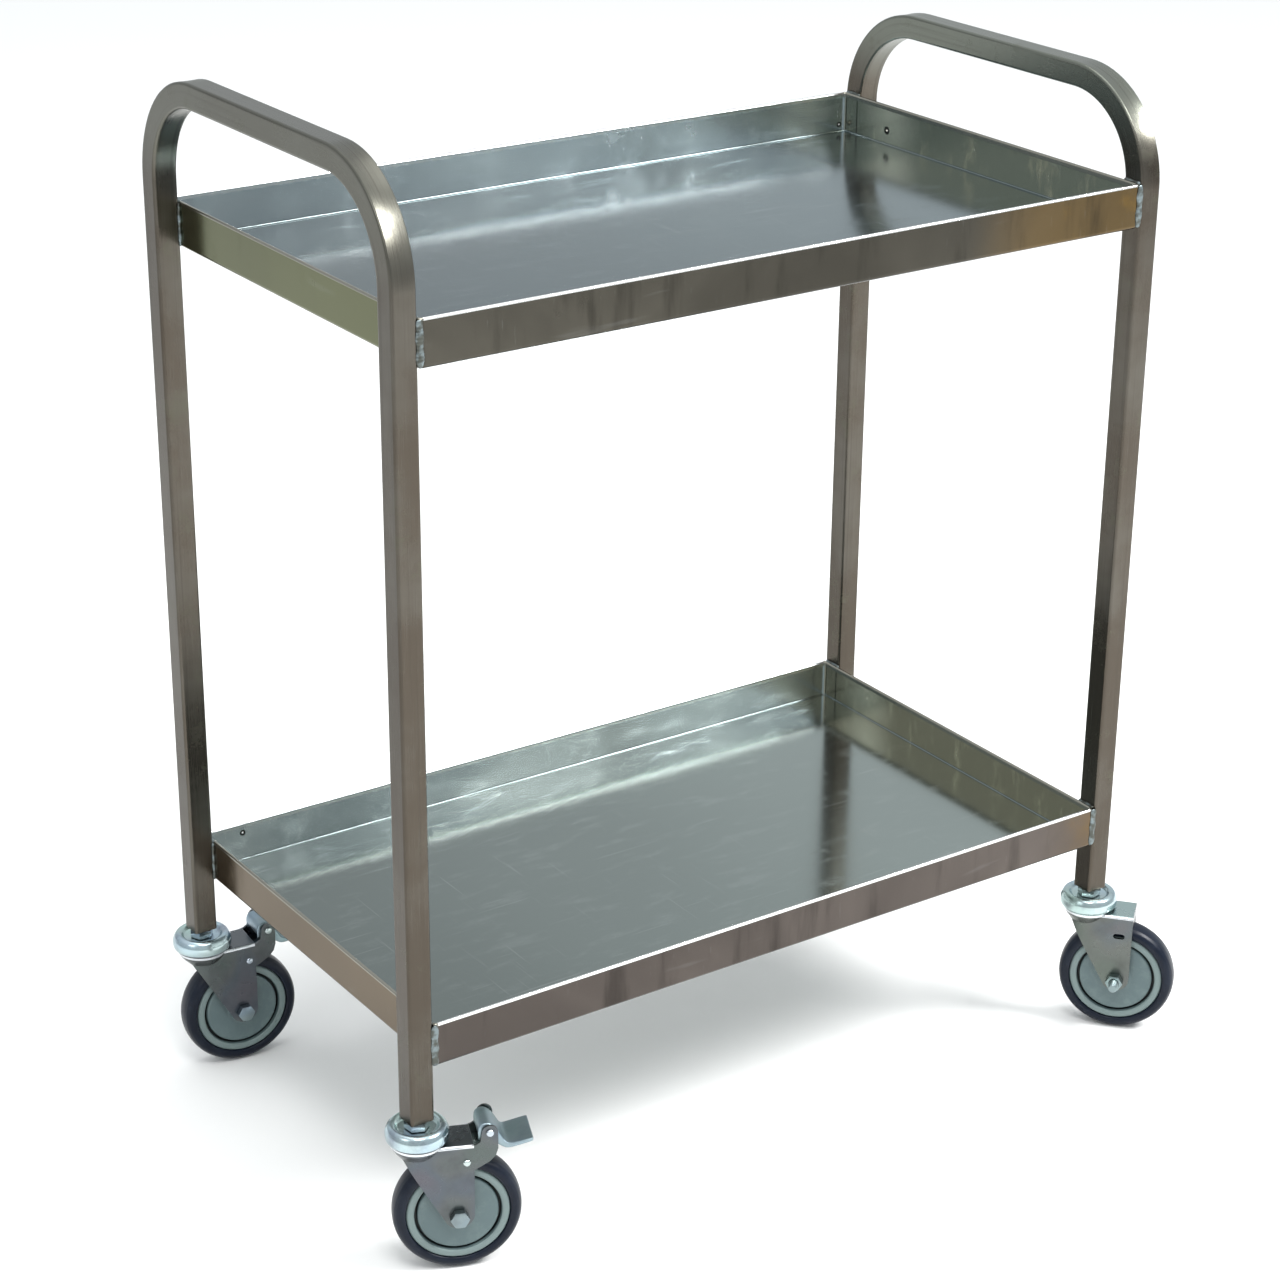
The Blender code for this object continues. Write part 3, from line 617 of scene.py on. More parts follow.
def bent_tube(name, x, top, foot):
    """The section goes along the centre line, outer skin first and the bore back again."""
    line, normal, bent = centre_line(LEG_Y / MM, top, foot)
    loops, uvs = [], []
    run = np.concatenate([[0], np.cumsum(np.linalg.norm(np.diff(line, axis=0), axis=1))])
    for side, corner, order in ((TUBE_SIDE, TUBE_CORNER, 1),
                                (TUBE_SIDE - 2 * TUBE_WALL, TUBE_CORNER - TUBE_WALL, -1)):
        s = section(side, corner)
        out, across = s[:, 0], s[:, 1]
        # a bend draws the outer face in a little at its middle and spreads the inner face
        sink = 0.55 * bent[:, None] * (out > side / 2 - 0.01) * (1 - (across / side * 2) ** 2)
        reach = out[None] - sink
        g = np.stack([np.full(reach.shape, x) + across[None] + 0 * reach,
                      line[:, :1] + normal[:, :1] * reach,
                      line[:, 1:] + normal[:, 1:] * reach], -1)
        g[..., 0] += CENTRE.x / MM
        g[..., 1] += CENTRE.y / MM
        around = np.concatenate([[0], np.cumsum(np.linalg.norm(np.diff(s, axis=0), axis=1))])
        uv = np.stack(np.broadcast_arrays(run[:, None] * MM, around[None] * MM), -1)
        loops.append(g[::order])
        uvs.append(uv[::order])
    grid = np.concatenate(loops)
    return build(name, [(grid, True, True, False)], weld=False, uvs=[np.concatenate(uvs)])


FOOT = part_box("left_end_frame")[0][2] / MM
for end, sign in (("left", -1), ("right", 1)):
    node = end + "_end_frame"
    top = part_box(node)[1][2] / MM
    piece(end + "_bent_tube", bent_tube(node + "_tube", sign * LEG_X / MM, round(top), FOOT),
          "frame", TUBE, [node], flats=True)
    print(end, "handle stands at %.0f mm" % top)

# %% [markdown]
# ## Trays
# A pan's section is walked once from the middle of the underside, out round the fold, up the wall,
# over the rolled hem, back down inside and in over the floor. Every point of it goes round a
# rectangle whose corners tighten as the section moves inward.

# %% Folded sheet pans
SHEET, HEM, HEM_DEEP, PAN_CORNER, FOLD, FOLD_INSIDE = 1.2, 1.6, 4.5, 4.8, 3.0, 1.1
HOLE_SHARE, DRILL_HALF = 0.4, 5        # a hole's radius as a share of its drill's, half length


def pan_section(height):
    """(inset, height, zone) along the section."""
    under = [(60.0, 0.0), (20.0, 0.0), (FOLD + 0.4, 0.0)]
    fold = [(FOLD - FOLD * math.sin(a), FOLD - FOLD * math.cos(a))
            for a in np.linspace(0, math.pi / 2, 7)]
    roll = [(HEM - HEM * math.cos(a), height - HEM + HEM * math.sin(a))
            for a in np.linspace(0, math.pi, 13)]
    lip = [(2 * HEM, height - HEM_DEEP + 0.4), (2 * HEM - 0.35, height - HEM_DEEP),
           (SHEET + 0.15, height - HEM_DEEP + 0.05)]
    foot = SHEET + FOLD_INSIDE
    inner = [(foot - FOLD_INSIDE * math.sin(a), foot - FOLD_INSIDE * math.cos(a))
             for a in np.linspace(math.pi / 2, 0, 7)]
    floor = [(foot + 0.4, SHEET), (20.0, SHEET), (60.0, SHEET)]
    outer_wall = [(0.0, FOLD + 0.4), (0.0, height - HEM - 0.4)]
    inner_wall = [(SHEET, height - HEM_DEEP - 0.3), (SHEET, height - HEM_DEEP - 0.7),
                  (SHEET, foot + 0.4)]
    parts = [(under, -1), (fold[:1], -1), (fold[1:], 0), (outer_wall, 0), (roll, 1), (lip, 1),
             (inner_wall, 2), (inner, 2.5), (floor, 3)]
    return np.array([(d, z, zone) for pts, zone in parts for d, z in pts])


def pan_loop(inset, hx, hy):
    """A rounded rectangle pulled in by `inset`; its corner radius shrinks with it."""
    r = max(PAN_CORNER - inset, 0.5)
    x, y = hx - inset - r, hy - inset - r
    corners = [arc(x, -y, r, -90, 0, 8), arc(x, y, r, 0, 90, 8), arc(-x, y, r, 90, 180, 8),
               arc(-x, -y, r, 180, 270, 8)]
    sides = []
    for k, c in enumerate(corners):
        sides += [c, spaced(c[-1], corners[(k + 1) % 4][0], 10, 0.4)]
    return np.concatenate(sides)


def pan(name, node):
    """The section goes round the pan, sized from the CAD tray's box."""
    low, high = (np.array(v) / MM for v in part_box(node))
    mid, half = (low + high) / 2, (high - low) / 2
    s = pan_section(high[2] - low[2])
    loops = [pan_loop(d, half[0], half[1]) + mid[:2] for d, _, _ in s]
    g = np.stack([np.column_stack([loop, np.full(len(loop), low[2] + z)])
                  for loop, (_, z, _) in zip(loops, s)])
    zones = np.repeat(s[:, 2:], g.shape[1], axis=1)
    return build(name, [(g, False, True, True)], weld=False, zones=[zones])


def drilled(mesh, holes):
    """Cuts each round hole through the wall; it is a cylinder turned to lie across it."""
    obj = stood("pan", mesh)
    drills = []
    for (x, y, z), turn, radius in holes:
        place = Matrix.Translation(Vector((x, y, z)) * MM + CENTRE) @ \
            Matrix.Rotation(math.pi / 2, 4, turn)
        bit = rod(radius * HOLE_SHARE, -DRILL_HALF, DRILL_HALF, 32)
        drills.append(stood("drill", build("drill", [bit], place)))
        m = obj.modifiers.new("hole", 'BOOLEAN')
        m.operation, m.solver, m.object = 'DIFFERENCE', 'EXACT', drills[-1]
    cut = taken(obj, drills)
    co = (positions(cut) - np.array(CENTRE)) / MM
    zone = np.empty(len(co))
    cut.attributes["zone"].data.foreach_get("value", zone)
    for place, turn, radius in holes:      # the cut's own edge takes the zone of its side
        along = 'YX'.index(turn)
        away = np.delete(co - place, along, axis=1)
        edge = np.hypot(*away.T) < radius * HOLE_SHARE + 0.05
        depth = np.abs(co[:, along])
        zone[edge] = np.where(depth[edge] < depth[edge].mean(), 2.0, 0.0)
    cut.attributes["zone"].data.foreach_set("value", zone.astype(np.float32))
    return cut


for label, steel in PAN_STEEL.items():
    node = label + "_tray"
    sheet = drilled(pan(node + "_sheet", node), DRAIN_HOLES[label])
    body = piece(label + "_pan", sheet, "frame", steel, [node], flats=True)

# %% [markdown]
# Short fillets of weld hold each pan to the legs: one up each side of a leg where the pan's plates
# end, and one over the rim. A bead is a thin bar whose radius swells and sinks along its length as
# the ripples of a hand-laid weld do, half buried in the corner it fills. The bead on the long side
# is flattened, so that it doesn't come through the thin wall into the pan.

# %% Weld beads
CORNERS = {"fl": (-1, -1), "bl": (-1, 1), "fr": (1, -1), "br": (1, 1)}
SIDE_BEAD, INNER_BEAD, RIM_BEAD, SIDE_DEPTH = 3.1, 1.5, 1.7, 0.42


def weld_steel():
    f = Finish("weld_bead", (0.2, 0.2, 0.19), 0.35, 1.0)
    blot = f.noise(160.0, detail=3)
    f.feed("Base Color", f.mix((0.085, 0.09, 0.08), (0.20, 0.24, 0.25), blot.rise(0.4, 0.65)))
    f.feed("Roughness", 0.3 + 0.2 * blot)
    return f.material


def bead(start, end, radius, seed, depth=1.0, pitch=2.6):
    """Radius = (1 + ripple) x a rounded taper at both ends; the middle line wanders a little.
    `depth` squeezes an upright bead front to back."""
    a, b = np.array(start, float), np.array(end, float)
    length = np.linalg.norm(b - a)
    t = np.linspace(0, 1, max(18, int(length * 2.2)))
    ripple = 0.035 * np.sin(2 * np.pi * t * length / pitch + seed) + 0.13 * np.sin(
        t * length * 0.45 + 2.3 * seed)
    taper = np.sqrt(np.clip(1 - (2 * t - 1) ** 10, 0, 1))
    r = radius * (1 + ripple) * taper
    along = (b - a) / length
    side = np.cross(along, (0.0, 0.0, 1.0) if abs(along[2]) < 0.9 else (1.0, 0.0, 0.0))
    side /= np.linalg.norm(side)
    other = np.cross(along, side)
    turn = np.linspace(0, 2 * np.pi, 14, endpoint=False)
    wander = 0.25 * np.sin(t * length * 0.55 + seed * 1.7)
    line = a + (b - a) * t[:, None] + side * depth * wander[:, None]
    ring = np.cos(turn)[:, None] * side * depth + np.sin(turn)[:, None] * other
    g = line[:, None] + r[:, None, None] * ring[None]
    return g, False, True, False


WELD = weld_steel()
for label in ("top", "bottom"):
    low, high = (Vector(v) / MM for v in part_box(label + "_tray"))
    for corner, (sx, sy) in CORNERS.items():
        wall_x = CENTRE.x / MM + sx * (LEG_X / MM - 10.1)
        face_y = CENTRE.y / MM + sy * (LEG_Y / MM + 9.7)
        inner_y = CENTRE.y / MM + sy * (LEG_Y / MM - 10.2)
        seed = sx + 2 * sy + (5 if label == "top" else 9)
        side_x, side_y, inner_x = wall_x - sx * 1.4, face_y + sy * 0.2, wall_x + sx * 0.4
        rim_x, rim_z = wall_x - sx * 0.2, high.z - 0.2
        beads = [
            bead((side_x, side_y, low.z + 1), (side_x, side_y, high.z - 0.5), SIDE_BEAD, seed,
                 SIDE_DEPTH),
            bead((inner_x, inner_y, low.z + 1), (inner_x, inner_y, high.z - 1), INNER_BEAD,
                 seed + 1.3),
            bead((rim_x, face_y - sy * 1.5, rim_z), (rim_x, inner_y, rim_z), RIM_BEAD,
                 seed + 2.1)]
        piece("weld_%s_%s" % (label, corner), build("weld", beads), "frame", WELD)
print(2 * len(CORNERS), "corners welded")

# %% [markdown]
# ## Casters
# A caster is modelled on its own axes, swivel axis upright at the origin and wheel trailing along
# +X, in millimetres. One matrix then stands the whole set under its leg.

# %% Sizes shared by the caster pieces
TRAIL, AXLE_Z, FORK_HALF, PLATE = 29.0, 50.0, 16.0, 2.0
CROWN, CROWN_ROLL, BACK = 112.5, 2.6, 41.0
PIN_S, PIN_Z, RIVET_S, RIVET_Z = 53.3, 122.0, 35.4, 97.5
LEG_END = 131.5
BALLS, BALL_RADIUS, BALL_CIRCLE, BALL_Z = 11, 3.0, 18, 117.6
THROUGH = 30                           # half length of a tool that cuts right through
BRAKED = ("fl", "bl")
UP_TO_FRONT = Matrix.Rotation(math.pi / 2, 4, 'X')      # +Z turned to -Y
UP_TO_REAR = Matrix.Rotation(-math.pi / 2, 4, 'X')      # +Z turned to +Y


def at(s, z, turn=None):
    """A place in the caster's own upright plane, in millimetres."""
    return Matrix.Translation((s * MM, 0, z * MM)) @ (turn or Matrix())


# %% [markdown]
# The swivel cap is a deep-drawn ring: a flat recess round the stem, a bright rounded rim and a
# skirt that hides the balls. The balls and their cage show only through the gap below it.

# %% Swivel cap, balls, stem and small turned pieces
CAP = eased([(6.3, 123.4), (14.8, 123.4), (17.2, 126.6), (19.6, 127.5), (22.4, 126.0),
             (24.5, 121.6), (24.5, 117.2), (23.9, 114.7), (23.0, 114.9), (22.9, 118.6),
             (20.8, 121.4), (6.3, 121.4)], 1.6, 5, closed=True)
CAGE = eased([(15.6, 118.2), (20.4, 118.2), (20.4, 117.0), (15.6, 117.0)], 0.3, 3, closed=True)
WASHER = eased([(6.3, 110.2), (12.0, 110.2), (12.0, 108.6), (6.3, 108.6)], 0.3, 3, closed=True)
SLEEVE = eased([(4.4, 13.7), (6.0, 13.7), (6.0, -13.7), (4.4, -13.7)], 0.3, 3, closed=True)


def thread(radius, z0, z1, pitch=1.25, depth=0.55):
    """A turned zig-zag: crest, root, crest at every pitch."""
    n = int((z0 - z1) / pitch)
    z = np.linspace(z0, z1, 2 * n + 1)
    return list(zip(np.where(np.arange(2 * n + 1) % 2 == 0, radius, radius - depth), z))


def globe(centre, radius, rings=8, segments=14):
    """Circles of radius R sin b at height R cos b."""
    b = np.linspace(0, np.pi, rings + 1)[:, None]
    a = np.linspace(0, 2 * np.pi, segments, endpoint=False)
    g = np.stack([np.sin(b) * np.cos(a), np.sin(b) * np.sin(a), np.cos(b) + 0 * a], -1)
    return g * radius + np.asarray(centre), False, True, False


def stem_grids():
    shank = [(0, 152.5), (3.9, 152.5)] + thread(4.7, 151.6, 131.8) + [
        (5.4, 130.9), (5.6, 124.0), (5.6, 108.4), (8.1, 108.4), (7.6, 106.6), (5.0, 105.8),
        (0, 105.6)]
    return [turned(shank, 48), hex_bar(17.0, 124.2, LEG_END - 0.5)]


def ball_grids():
    a = np.linspace(0, 2 * np.pi, BALLS, endpoint=False)
    return [turned(CAGE, 72, True)] + [
        globe((BALL_CIRCLE * math.cos(t), BALL_CIRCLE * math.sin(t), BALL_Z), BALL_RADIUS)
        for t in a]


# %% [markdown]
# The fork is pressed from 2 mm plate: a crown with a raised race, two leg plates joined round the
# front, and either a folded lip at the back or, on a braked caster, two horns that hold the pedal.
# Such a shape is easiest as solids cut from each other, so plain prisms and turned shapes are
# joined and cut with Booleans first; a small bevel then breaks every edge.

# %% Boolean fork
def tool(name, grids, matrix=None):
    return stood(name, build(name, grids, matrix))


def cleaned(mesh):
    """Merges points that lie together and edges that a cut left on a flat."""
    bm = bmesh.new()
    bm.from_mesh(mesh)
    bmesh.ops.remove_doubles(bm, verts=bm.verts, dist=4e-6)
    bmesh.ops.dissolve_limit(bm, angle_limit=math.radians(1.0), verts=bm.verts, edges=bm.edges)
    bm.to_mesh(mesh)
    bm.free()
    return mesh


def finished(mesh, modifiers):
    """Runs modifiers on a mesh and returns the result as a plain mesh."""
    obj = stood("making", mesh)
    for kind, settings in modifiers:
        m = obj.modifiers.new(kind.lower(), kind)
        for key, value in settings.items():
            setattr(m, key, value)
    return taken(obj)


def carve(base, steps):
    """Applies each (operation, tool) to the base in turn and returns the plain mesh."""
    for operation, other in steps:
        m = base.modifiers.new(operation.lower(), 'BOOLEAN')
        m.operation, m.solver, m.object = operation, 'EXACT', other
        mesh = cleaned(taken(base, [other]))
        base = stood("carved", mesh)
    bpy.data.objects.remove(base, do_unlink=True)
    return mesh


def plan(radius, back, z0, z1):
    """Seen from above: a half circle round the swivel axis, then straight sides to the back."""
    round_front = arc(0, 0, radius, 90, 270, 32)
    return prism(np.vstack([[(back, -radius), (back, radius)], round_front]), z0, z1)


def upright(outline, y0, y1):
    """A side-view outline (s, z) given width between y0 and y1."""
    g, *rest = prism(outline, y0, y1)
    return (g[..., [0, 2, 1]], *rest)


def crown_solid(radius, back, top, roll):
    """The plan shape with its upper edge rolled over in a quarter circle."""
    rings = [(0.0, 38.0), (0.0, top - roll)] + [
        (roll - roll * math.cos(a), top - roll + roll * math.sin(a))
        for a in np.linspace(0, math.pi / 2, 6)[1:]]
    layers = []
    for inset, z in rings:
        g, *_ = plan(radius - inset, back, z, z)
        layers.append(g[0])
    return np.stack(layers), False, True, True


def fork_mesh(braked):
    """The crown, joined to its cup, hollowed, trimmed to the side view and drilled."""
    cup = [(0, 114.2), (20.0, 114.2), (21.2, 113.2), (21.3, 111.4), (20.2, 108.6), (15.9, 102.0),
           (0, 102.0)]
    hollow_cup = [(0, 112.2), (18.0, 112.2), (18.6, 111.4), (13.9, 103.4), (13.9, 98), (0, 98)]
    foot = arc(TRAIL, 52.0, 12.0, 218, 360, 22)
    side = np.vstack([[(BACK + 0.4, 118), (-26, 118), (-26, 110.5), (-21.5, 110.5),
                       (-12.2, 101.8)], foot, [(BACK + 0.4, 60)]])
    inside_back = BACK + 10 if braked else BACK - PLATE
    base = tool("fork", [crown_solid(FORK_HALF, BACK, CROWN, CROWN_ROLL)])
    steps = [
        ('UNION', tool("cup", [turned(eased(cup, 1.0, 4), 72)])),
        ('DIFFERENCE', tool("hollow", [crown_solid(FORK_HALF - PLATE, inside_back,
                                                   CROWN - PLATE, 1.2)])),
        ('DIFFERENCE', tool("cone", [turned(hollow_cup, 72)])),
        ('INTERSECT', tool("side", [upright(side, -THROUGH, THROUGH)])),
        ('DIFFERENCE', tool("king", [rod(6.3, 100, 120, 48)])),
        ('DIFFERENCE', tool("axle", [rod(4.4, -THROUGH, THROUGH, 40)],
                            at(TRAIL, AXLE_Z, UP_TO_FRONT)))]
    if braked:
        horn = np.vstack([[(34, 84), (41.4, 90.5), (53.0, 97.0), (57.6, 102.0), (59.4, 108.0)],
                          arc(PIN_S, PIN_Z, 6.2, 0, 180, 18),
                          [(45.8, 114.5), (42.5, 112.4), (34, 111.2)]])
        for y0, y1 in ((-15.95, -14.05), (14.05, 15.95)):
            steps.append(('UNION', tool("horn", [upright(horn, y0, y1)])))
        for s, z in ((PIN_S, PIN_Z), (RIVET_S, RIVET_Z)):
            steps.append(('DIFFERENCE', tool("pin", [rod(2.2, -THROUGH, THROUGH, 28)],
                                             at(s, z, UP_TO_FRONT))))
    else:
        slot = np.vstack([arc(32.5, 93.3, 2.4, -90, 90, 9), arc(27.3, 93.3, 2.4, 90, 270, 9)])
        steps.append(('DIFFERENCE', tool("under", [upright(
            [(BACK - 6, 20), (BACK + 6, 20), (BACK + 6, 100.4), (BACK - 6, 100.4)],
            -FORK_HALF + PLATE, FORK_HALF - PLATE)])))
        steps.append(('DIFFERENCE', tool("slot", [upright(slot, -THROUGH, THROUGH)])))
    mesh = finished(carve(base, steps), [
        ('BEVEL', {"width": 0.3 * MM, "segments": 2, "limit_method": 'ANGLE',
                   "angle_limit": math.radians(35)})])
    trail = positions(mesh)[:, 0].astype(np.float32)
    mesh.attributes.new("trail", 'FLOAT', 'POINT').data.foreach_set("value", trail)
    return mesh


FORKS = {True: fork_mesh(True), False: fork_mesh(False)}
print({k: len(m.polygons) for k, m in FORKS.items()}, "faces in the forks")


# %% [markdown]
# The wheel is a moulded core with a groove near its edge and a rubber band round it. Both are
# turned shapes, the same on both sides, so only half of each profile is written.

# %% Wheel
def both_sides(half):
    """The half profile, then the same points with their heights turned over, last to first."""
    h = np.asarray(half, float)
    return np.vstack([h, (h * (1, -1))[::-1]])


CORE_PROFILE = eased(both_sides([
    (6.4, 13.0), (10.6, 13.0), (11.8, 10.2), (13.4, 9.4), (29.6, 9.4), (31.2, 8.8), (31.8, 4.8),
    (33.2, 4.8), (33.9, 9.9), (35.2, 10.6), (38.6, 10.6), (39.9, 9.4)]), 0.6, 4, closed=True)
TYRE_PROFILE = eased(both_sides([
    (40.1, 9.6), (40.9, 10.9), (42.6, 11.5), (45.0, 11.3), (47.4, 9.9), (49.2, 7.0), (49.9, 3.2),
    (50.0, 0.8)]), 0.9, 4, closed=True)


# %% [markdown]
# The pedal is one pressing: a channel over its pin whose web turns down and flares into a foot
# tongue. It is lofted through cross-sections, then thickened and smoothed.

# %% Brake pedal, shoe and bolts
PEDAL_STATIONS = [  # (s, z) of the web, (s, z) of the flange's edge, half width
    ((44.4, 117.5), (44.6, 114.0), 12.6), ((44.4, 124.0), (46.6, 113.6), 12.9),
    ((46.2, 127.6), (49.2, 113.2), 13.0), ((51.2, 129.1), (52.6, 112.7), 13.0),
    ((55.6, 127.2), (55.8, 111.8), 13.0), ((59.8, 121.6), (59.4, 109.2), 13.0),
    ((63.4, 114.4), (62.8, 106.8), 13.2), ((65.6, 111.5), (65.2, 106.3), 14.6),
    ((68.6, 110.8), (68.6, 106.9), 16.2), ((76.0, 112.2), (76.0, 108.8), 16.5),
    ((84.6, 114.2), (84.6, 111.0), 16.7), ((86.4, 114.3), (86.4, 111.5), 16.3)]


def pedal_mesh():
    """Each row goes up one flange, across the web and down the other; rows join along the pedal."""
    rows = []
    for (ws, wz), (fs, fz), w in PEDAL_STATIONS:
        flange = [(fs + (ws - fs) * t, fz + (wz - fz) * t) for t in (0.0, 0.45, 0.86, 0.97)]
        half = [*zip(flange, (w, w, w, w - 0.5)), ((ws, wz), w - 1.8), ((ws, wz), w * 0.45)]
        near = [(s, -y, z) for (s, z), y in half]
        far = [(s, y, z) for (s, z), y in reversed(half)]
        rows.append(near + [(ws, 0, wz)] + far)
    g = np.array(rows)
    open_sheet = build("pedal_sheet", [(g, False, False, False)], weld=False)
    up = sum(p.normal.z * p.area for p in open_sheet.polygons)
    if up < 0:
        open_sheet.flip_normals()
    return finished(open_sheet, [
        ('SOLIDIFY', {"thickness": 1.8 * MM, "offset": -1.0, "use_even_offset": True}),
        ('SUBSURF', {"levels": 2, "render_levels": 2})])


def shoe_mesh():
    """A curved strip over the tyre with an ear at each side for its rivet."""
    top = [(30.5, 104.6), (40.0, 105.4), (48.0, 105.8), (55.5, 105.9), (57.5, 104.4)]
    under = [(s - (0.3 if s > 57 else 0), z - 1.2) for s, z in top]
    ear = np.vstack([[(31.2, 104.4)], arc(RIVET_S, RIVET_Z, 4.2, 180, 360, 14), [(39.6, 105.2)]])
    base = tool("shoe", [upright(top + under[::-1], -13.5, 13.5)])
    steps = [('UNION', tool("ear", [upright(ear, y0, y1)])) for y0, y1 in
             ((-13.5, -12.4), (12.4, 13.5))]
    steps.append(('DIFFERENCE', tool("eye", [rod(2.2, -THROUGH, THROUGH, 24)],
                                     at(RIVET_S, RIVET_Z, UP_TO_FRONT))))
    return carve(base, steps)


FACE = FORK_HALF + 0.3        # where heads and nuts sit, just outside the plates
STUD_END = {True: 27.1, False: 31.8}    # a caster without a brake has the longer bolt
BOLT = {braked: [turned([(0, 17.4), (4.0, 17.4), (4.0, -17.0)] + thread(4.0, -17.2, 0.8 - end)
                        + [(3.2, 0.1 - end), (0, -end)], 40), hex_bar(13.0, FACE, FACE + 5.3)]
        for braked, end in STUD_END.items()}
NUT = [hex_bar(13.0, -FACE, -FACE - 6.4, bore=4.4)]
PIN = [turned(eased([(0, FACE + 1.6), (2.4, FACE + 1.4), (3.1, FACE + 0.6), (3.1, FACE),
                     (2.0, FACE), (2.0, -FACE), (3.1, -FACE), (2.8, -FACE - 1.4),
                     (0, -FACE - 1.4)], 0.3, 3), 40)]
RIVET = [turned(eased([(0, FACE + 1.8), (2.0, FACE + 1.5), (3.0, FACE + 0.4), (3.0, FACE),
                       (2.0, FACE), (2.0, 12.1), (3.0, 12.1), (2.8, 11.7), (0, 11.7)],
                      0.25, 3), 32)]
PEDAL, SHOE = pedal_mesh(), shoe_mesh()
print(len(PEDAL.polygons), "faces in a pedal")


# %% [markdown]
# Every caster gets its own copies, stood at its leg by one matrix. The axle bolt's head is on the
# near side of the braked casters; on the others the nut and its thread are.

# %% Stand the casters under the legs
def core_zone(g):
    """1 down in the groove, 2 on the ring outside it, 0 elsewhere, by radius and height."""
    r, h = np.hypot(g[..., 0], g[..., 1]), np.abs(g[..., 2])
    return np.where(r > 33.9, 2.0, np.where((r > 31.4) & (h < 8.0), 1.0, 0.0))


def copy_of(mesh, matrix):
    m = mesh.copy()
    m.transform(matrix)
    return m


for key in CASTER_KEYS:
    M = caster_matrix(key)
    braked = key in BRAKED
    swivel, wheel = "swivel_" + key, "wheel_" + key
    axle = M @ at(TRAIL, AXLE_Z, UP_TO_FRONT)
    bolt = axle if braked else M @ at(TRAIL, AXLE_Z, UP_TO_REAR)
    table = [
        ("stem", stem_grids(), M, "frame", "bolt", BRIGHT),
        ("swivel_cap", [turned(CAP, 96, True)], M, "frame", "zinc", CAP_ZINC),
        ("ball_ring", ball_grids(), M, swivel, "bolt", BRIGHT),
        ("king_washer", [turned(WASHER, 48, True)], M, swivel, "bolt", BRIGHT),
        ("axle_bolt", BOLT[braked], bolt, swivel, "bolt", HEX_ZINC),
        ("axle_nut", NUT, bolt, swivel, "bolt", HEX_ZINC),
        ("axle_sleeve", [turned(SLEEVE, 48, True)], axle, swivel, "bolt", BRIGHT),
        ("wheel_core", [turned(CORE_PROFILE, 96, True)], axle, wheel, "core", CORE),
        ("tyre", [turned(TYRE_PROFILE, 120, True)], axle, wheel, "tyre", RUBBER)]
    if braked:
        table += [
            ("pedal_pin", PIN, M @ at(PIN_S, PIN_Z, UP_TO_FRONT), swivel, "bolt", BRIGHT),
            ("shoe_rivet_near", RIVET, M @ at(RIVET_S, RIVET_Z, UP_TO_FRONT), swivel, "bolt",
             BRIGHT),
            ("shoe_rivet_far", RIVET, M @ at(RIVET_S, RIVET_Z, UP_TO_REAR), swivel, "bolt",
             BRIGHT)]
    for name, grids, matrix, body, slot, material in table:
        node = name + "_" + key
        zones = [core_zone(grids[0][0])] if name == "wheel_core" else None
        piece(node + "_fine", build(node, grids, matrix, zones=zones), body, material, [node])
    piece("fork_%s_fine" % key, copy_of(FORKS[braked], M), swivel, FORK_ZINC[braked],
          ["fork_" + key], flats=True)
    if braked:
        piece("brake_pedal_%s_fine" % key, copy_of(PEDAL, M), "pedal_" + key, PEDAL_ZINC,
              ["brake_pedal_" + key], crease=50)
        piece("brake_shoe_%s_fine" % key, copy_of(SHOE, M), "shoe_" + key, BRIGHT,
              ["brake_shoe_" + key])
    plug = frame["nodes"]["leg_plug_" + key]
    plug.data.materials.clear()
    plug.data.materials.append(PLUG)
print("casters stand at", [tuple(round(c, 3) for c in swivel_at[k][:2]) for k in CASTER_KEYS])

# %% [markdown]
# ## Stage, light and camera
# A wide pale floor, a pale sky that is darker near the horizon so that the polished floors of the
# pans have something to mirror, and large soft lamps. Stainless steel shows its surroundings, so
# the lamps are what draw the white lines along its bends.

# %% Floor and lamps
FLOOR_HALF, FLOOR_Z = 30000, -0.2       # just under the wheels, in mm
floor_mesh = build("floor", [(np.array([[(x, y, FLOOR_Z) for x in (-FLOOR_HALF, FLOOR_HALF)]
                                        for y in (-FLOOR_HALF, FLOOR_HALF)], float),
                              False, False, False)], weld=False)
if floor_mesh.polygons[0].normal.z < 0:
    floor_mesh.flip_normals()
floor = stood("studio_floor", floor_mesh)
floor_mesh.materials.append(Finish("floor_paint", (0.86, 0.86, 0.85), 0.9, 0.0).material)

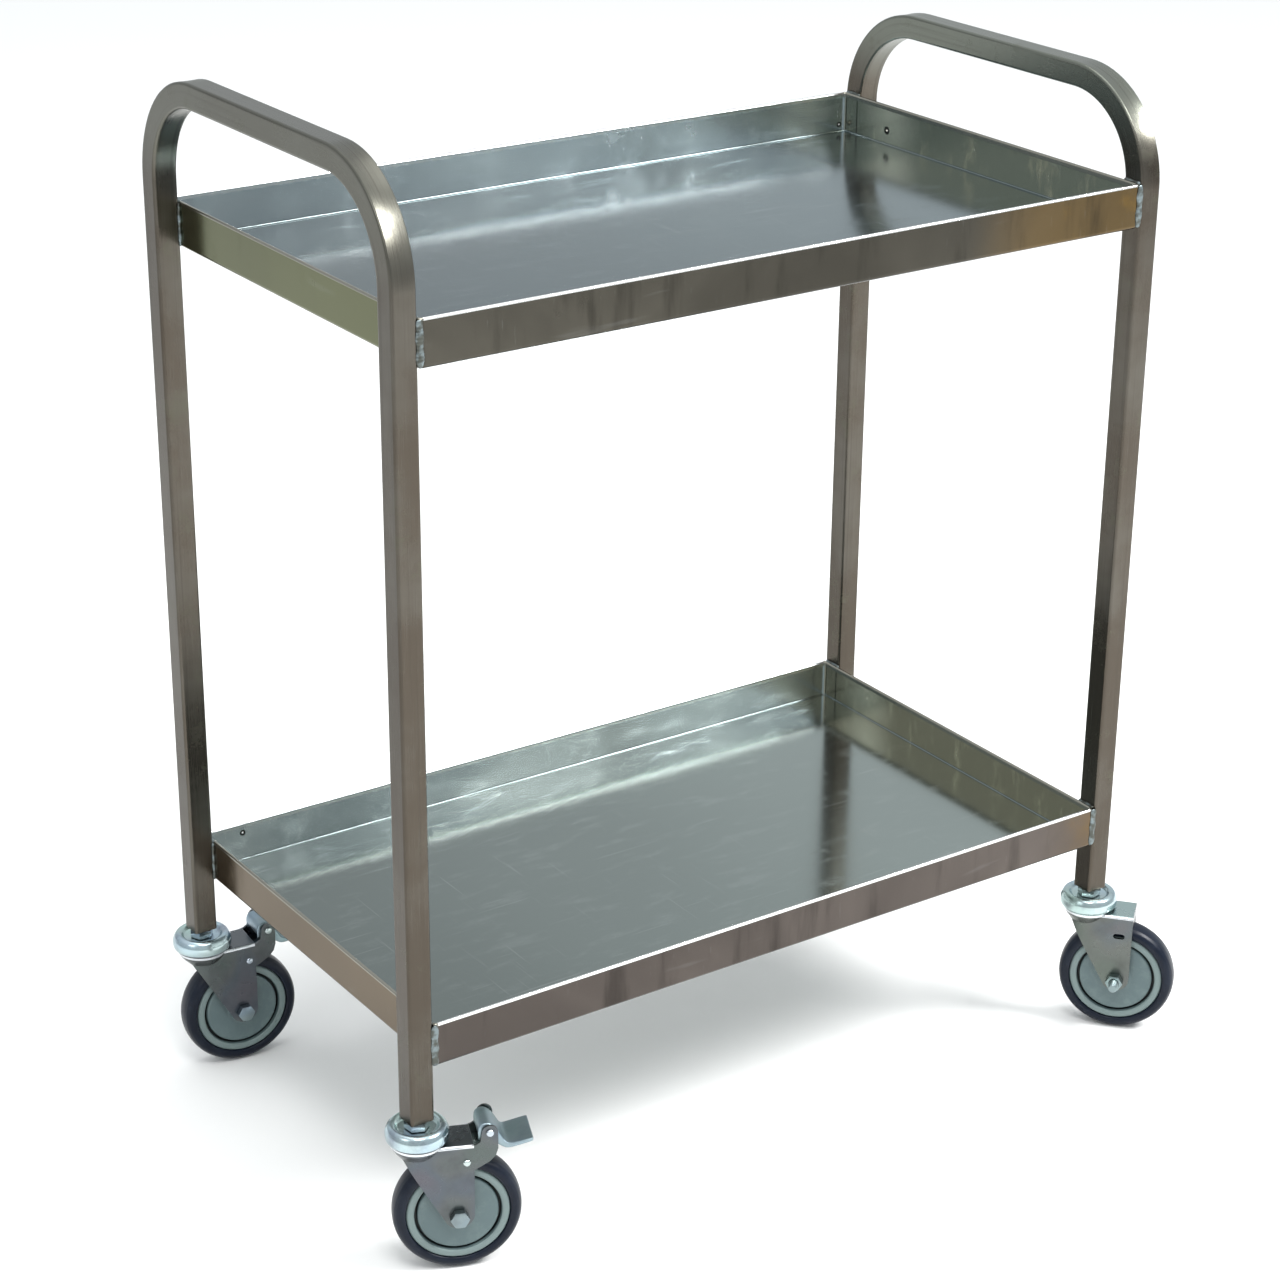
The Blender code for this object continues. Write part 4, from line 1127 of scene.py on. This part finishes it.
world = bpy.data.worlds.new("studio")
bpy.context.scene.world = world
world.use_nodes = True
sky = world.node_tree
height = sky.nodes.new("ShaderNodeSeparateXYZ")
coordinates = sky.nodes.new("ShaderNodeTexCoord")
ramp = sky.nodes.new("ShaderNodeValToRGB")
sky.links.new(coordinates.outputs["Generated"], height.inputs[0])
sky.links.new(height.outputs["Z"], ramp.inputs["Fac"])
sky.links.new(ramp.outputs["Color"], sky.nodes["Background"].inputs["Color"])
ramp.color_ramp.elements.new(0.5)
SKY_TONES = [(0.0, (0.62, 0.65, 0.66, 1)), (0.45, (0.76, 0.80, 0.83, 1)),
             (1.0, (1.2, 1.23, 1.25, 1))]
for element, (where, tone) in zip(ramp.color_ramp.elements, SKY_TONES):
    element.position, element.color = where, tone
sky.nodes["Background"].inputs["Strength"].default_value = 1.0


def softbox(name, toward, distance, size, watts):
    """A square lamp at `distance` along `toward` from the cart's middle, facing it."""
    lamp = bpy.data.lights.new(name, 'AREA')
    lamp.shape, lamp.size, lamp.size_y = 'RECTANGLE', *size
    lamp.energy = watts
    d = Vector(toward).normalized()
    obj = stood(name, lamp)
    obj.location = Vector((0, 0, 0.5)) + d * distance
    obj.rotation_euler = d.to_track_quat('Z', 'Y').to_euler()


softbox("key", (0.52, -0.54, 0.66), 3.4, (1.1, 1.2), 150)
softbox("front_top", (-0.28, -0.48, 0.84), 3.2, (1.3, 0.9), 42)
softbox("overhead", (0.0, 0.1, 1.0), 3.2, (2.6, 2.0), 28)
softbox("left_fill", (-0.9, -0.2, 0.5), 3.6, (1.4, 1.4), 14)

# %% [markdown]
# The camera stands to the front left, a little above the handles, with a long lens. Its axes are
# written from its compass angle, its height angle and a slight roll.

# %% Camera
AZ, EL, ROLL = math.radians(-34.50), math.radians(23.29), math.radians(0.51)
FOCAL_WIDTHS = 3014.4 / 1280           # focal length in picture widths
back = Vector((math.sin(AZ) * math.cos(EL), -math.cos(AZ) * math.cos(EL), math.sin(EL)))
level = Vector((math.cos(AZ), math.sin(AZ), 0))
lift = back.cross(level)
right = math.cos(ROLL) * level + math.sin(ROLL) * lift
up = -math.sin(ROLL) * level + math.cos(ROLL) * lift
camera_data = bpy.data.cameras.new("camera")
camera_data.sensor_width = 36.0
camera_data.sensor_fit = 'HORIZONTAL'
camera_data.lens = FOCAL_WIDTHS * camera_data.sensor_width
camera_data.clip_end = 100
camera = stood("camera", camera_data)
STAND = CENTRE + Vector((-1.3007, -1.8701, 1.3595))
camera.matrix_world = Matrix.Translation(STAND) @ Matrix((right, up, back)).transposed().to_4x4()
bpy.context.scene.camera = camera
bpy.context.scene.view_settings.view_transform = 'Standard'
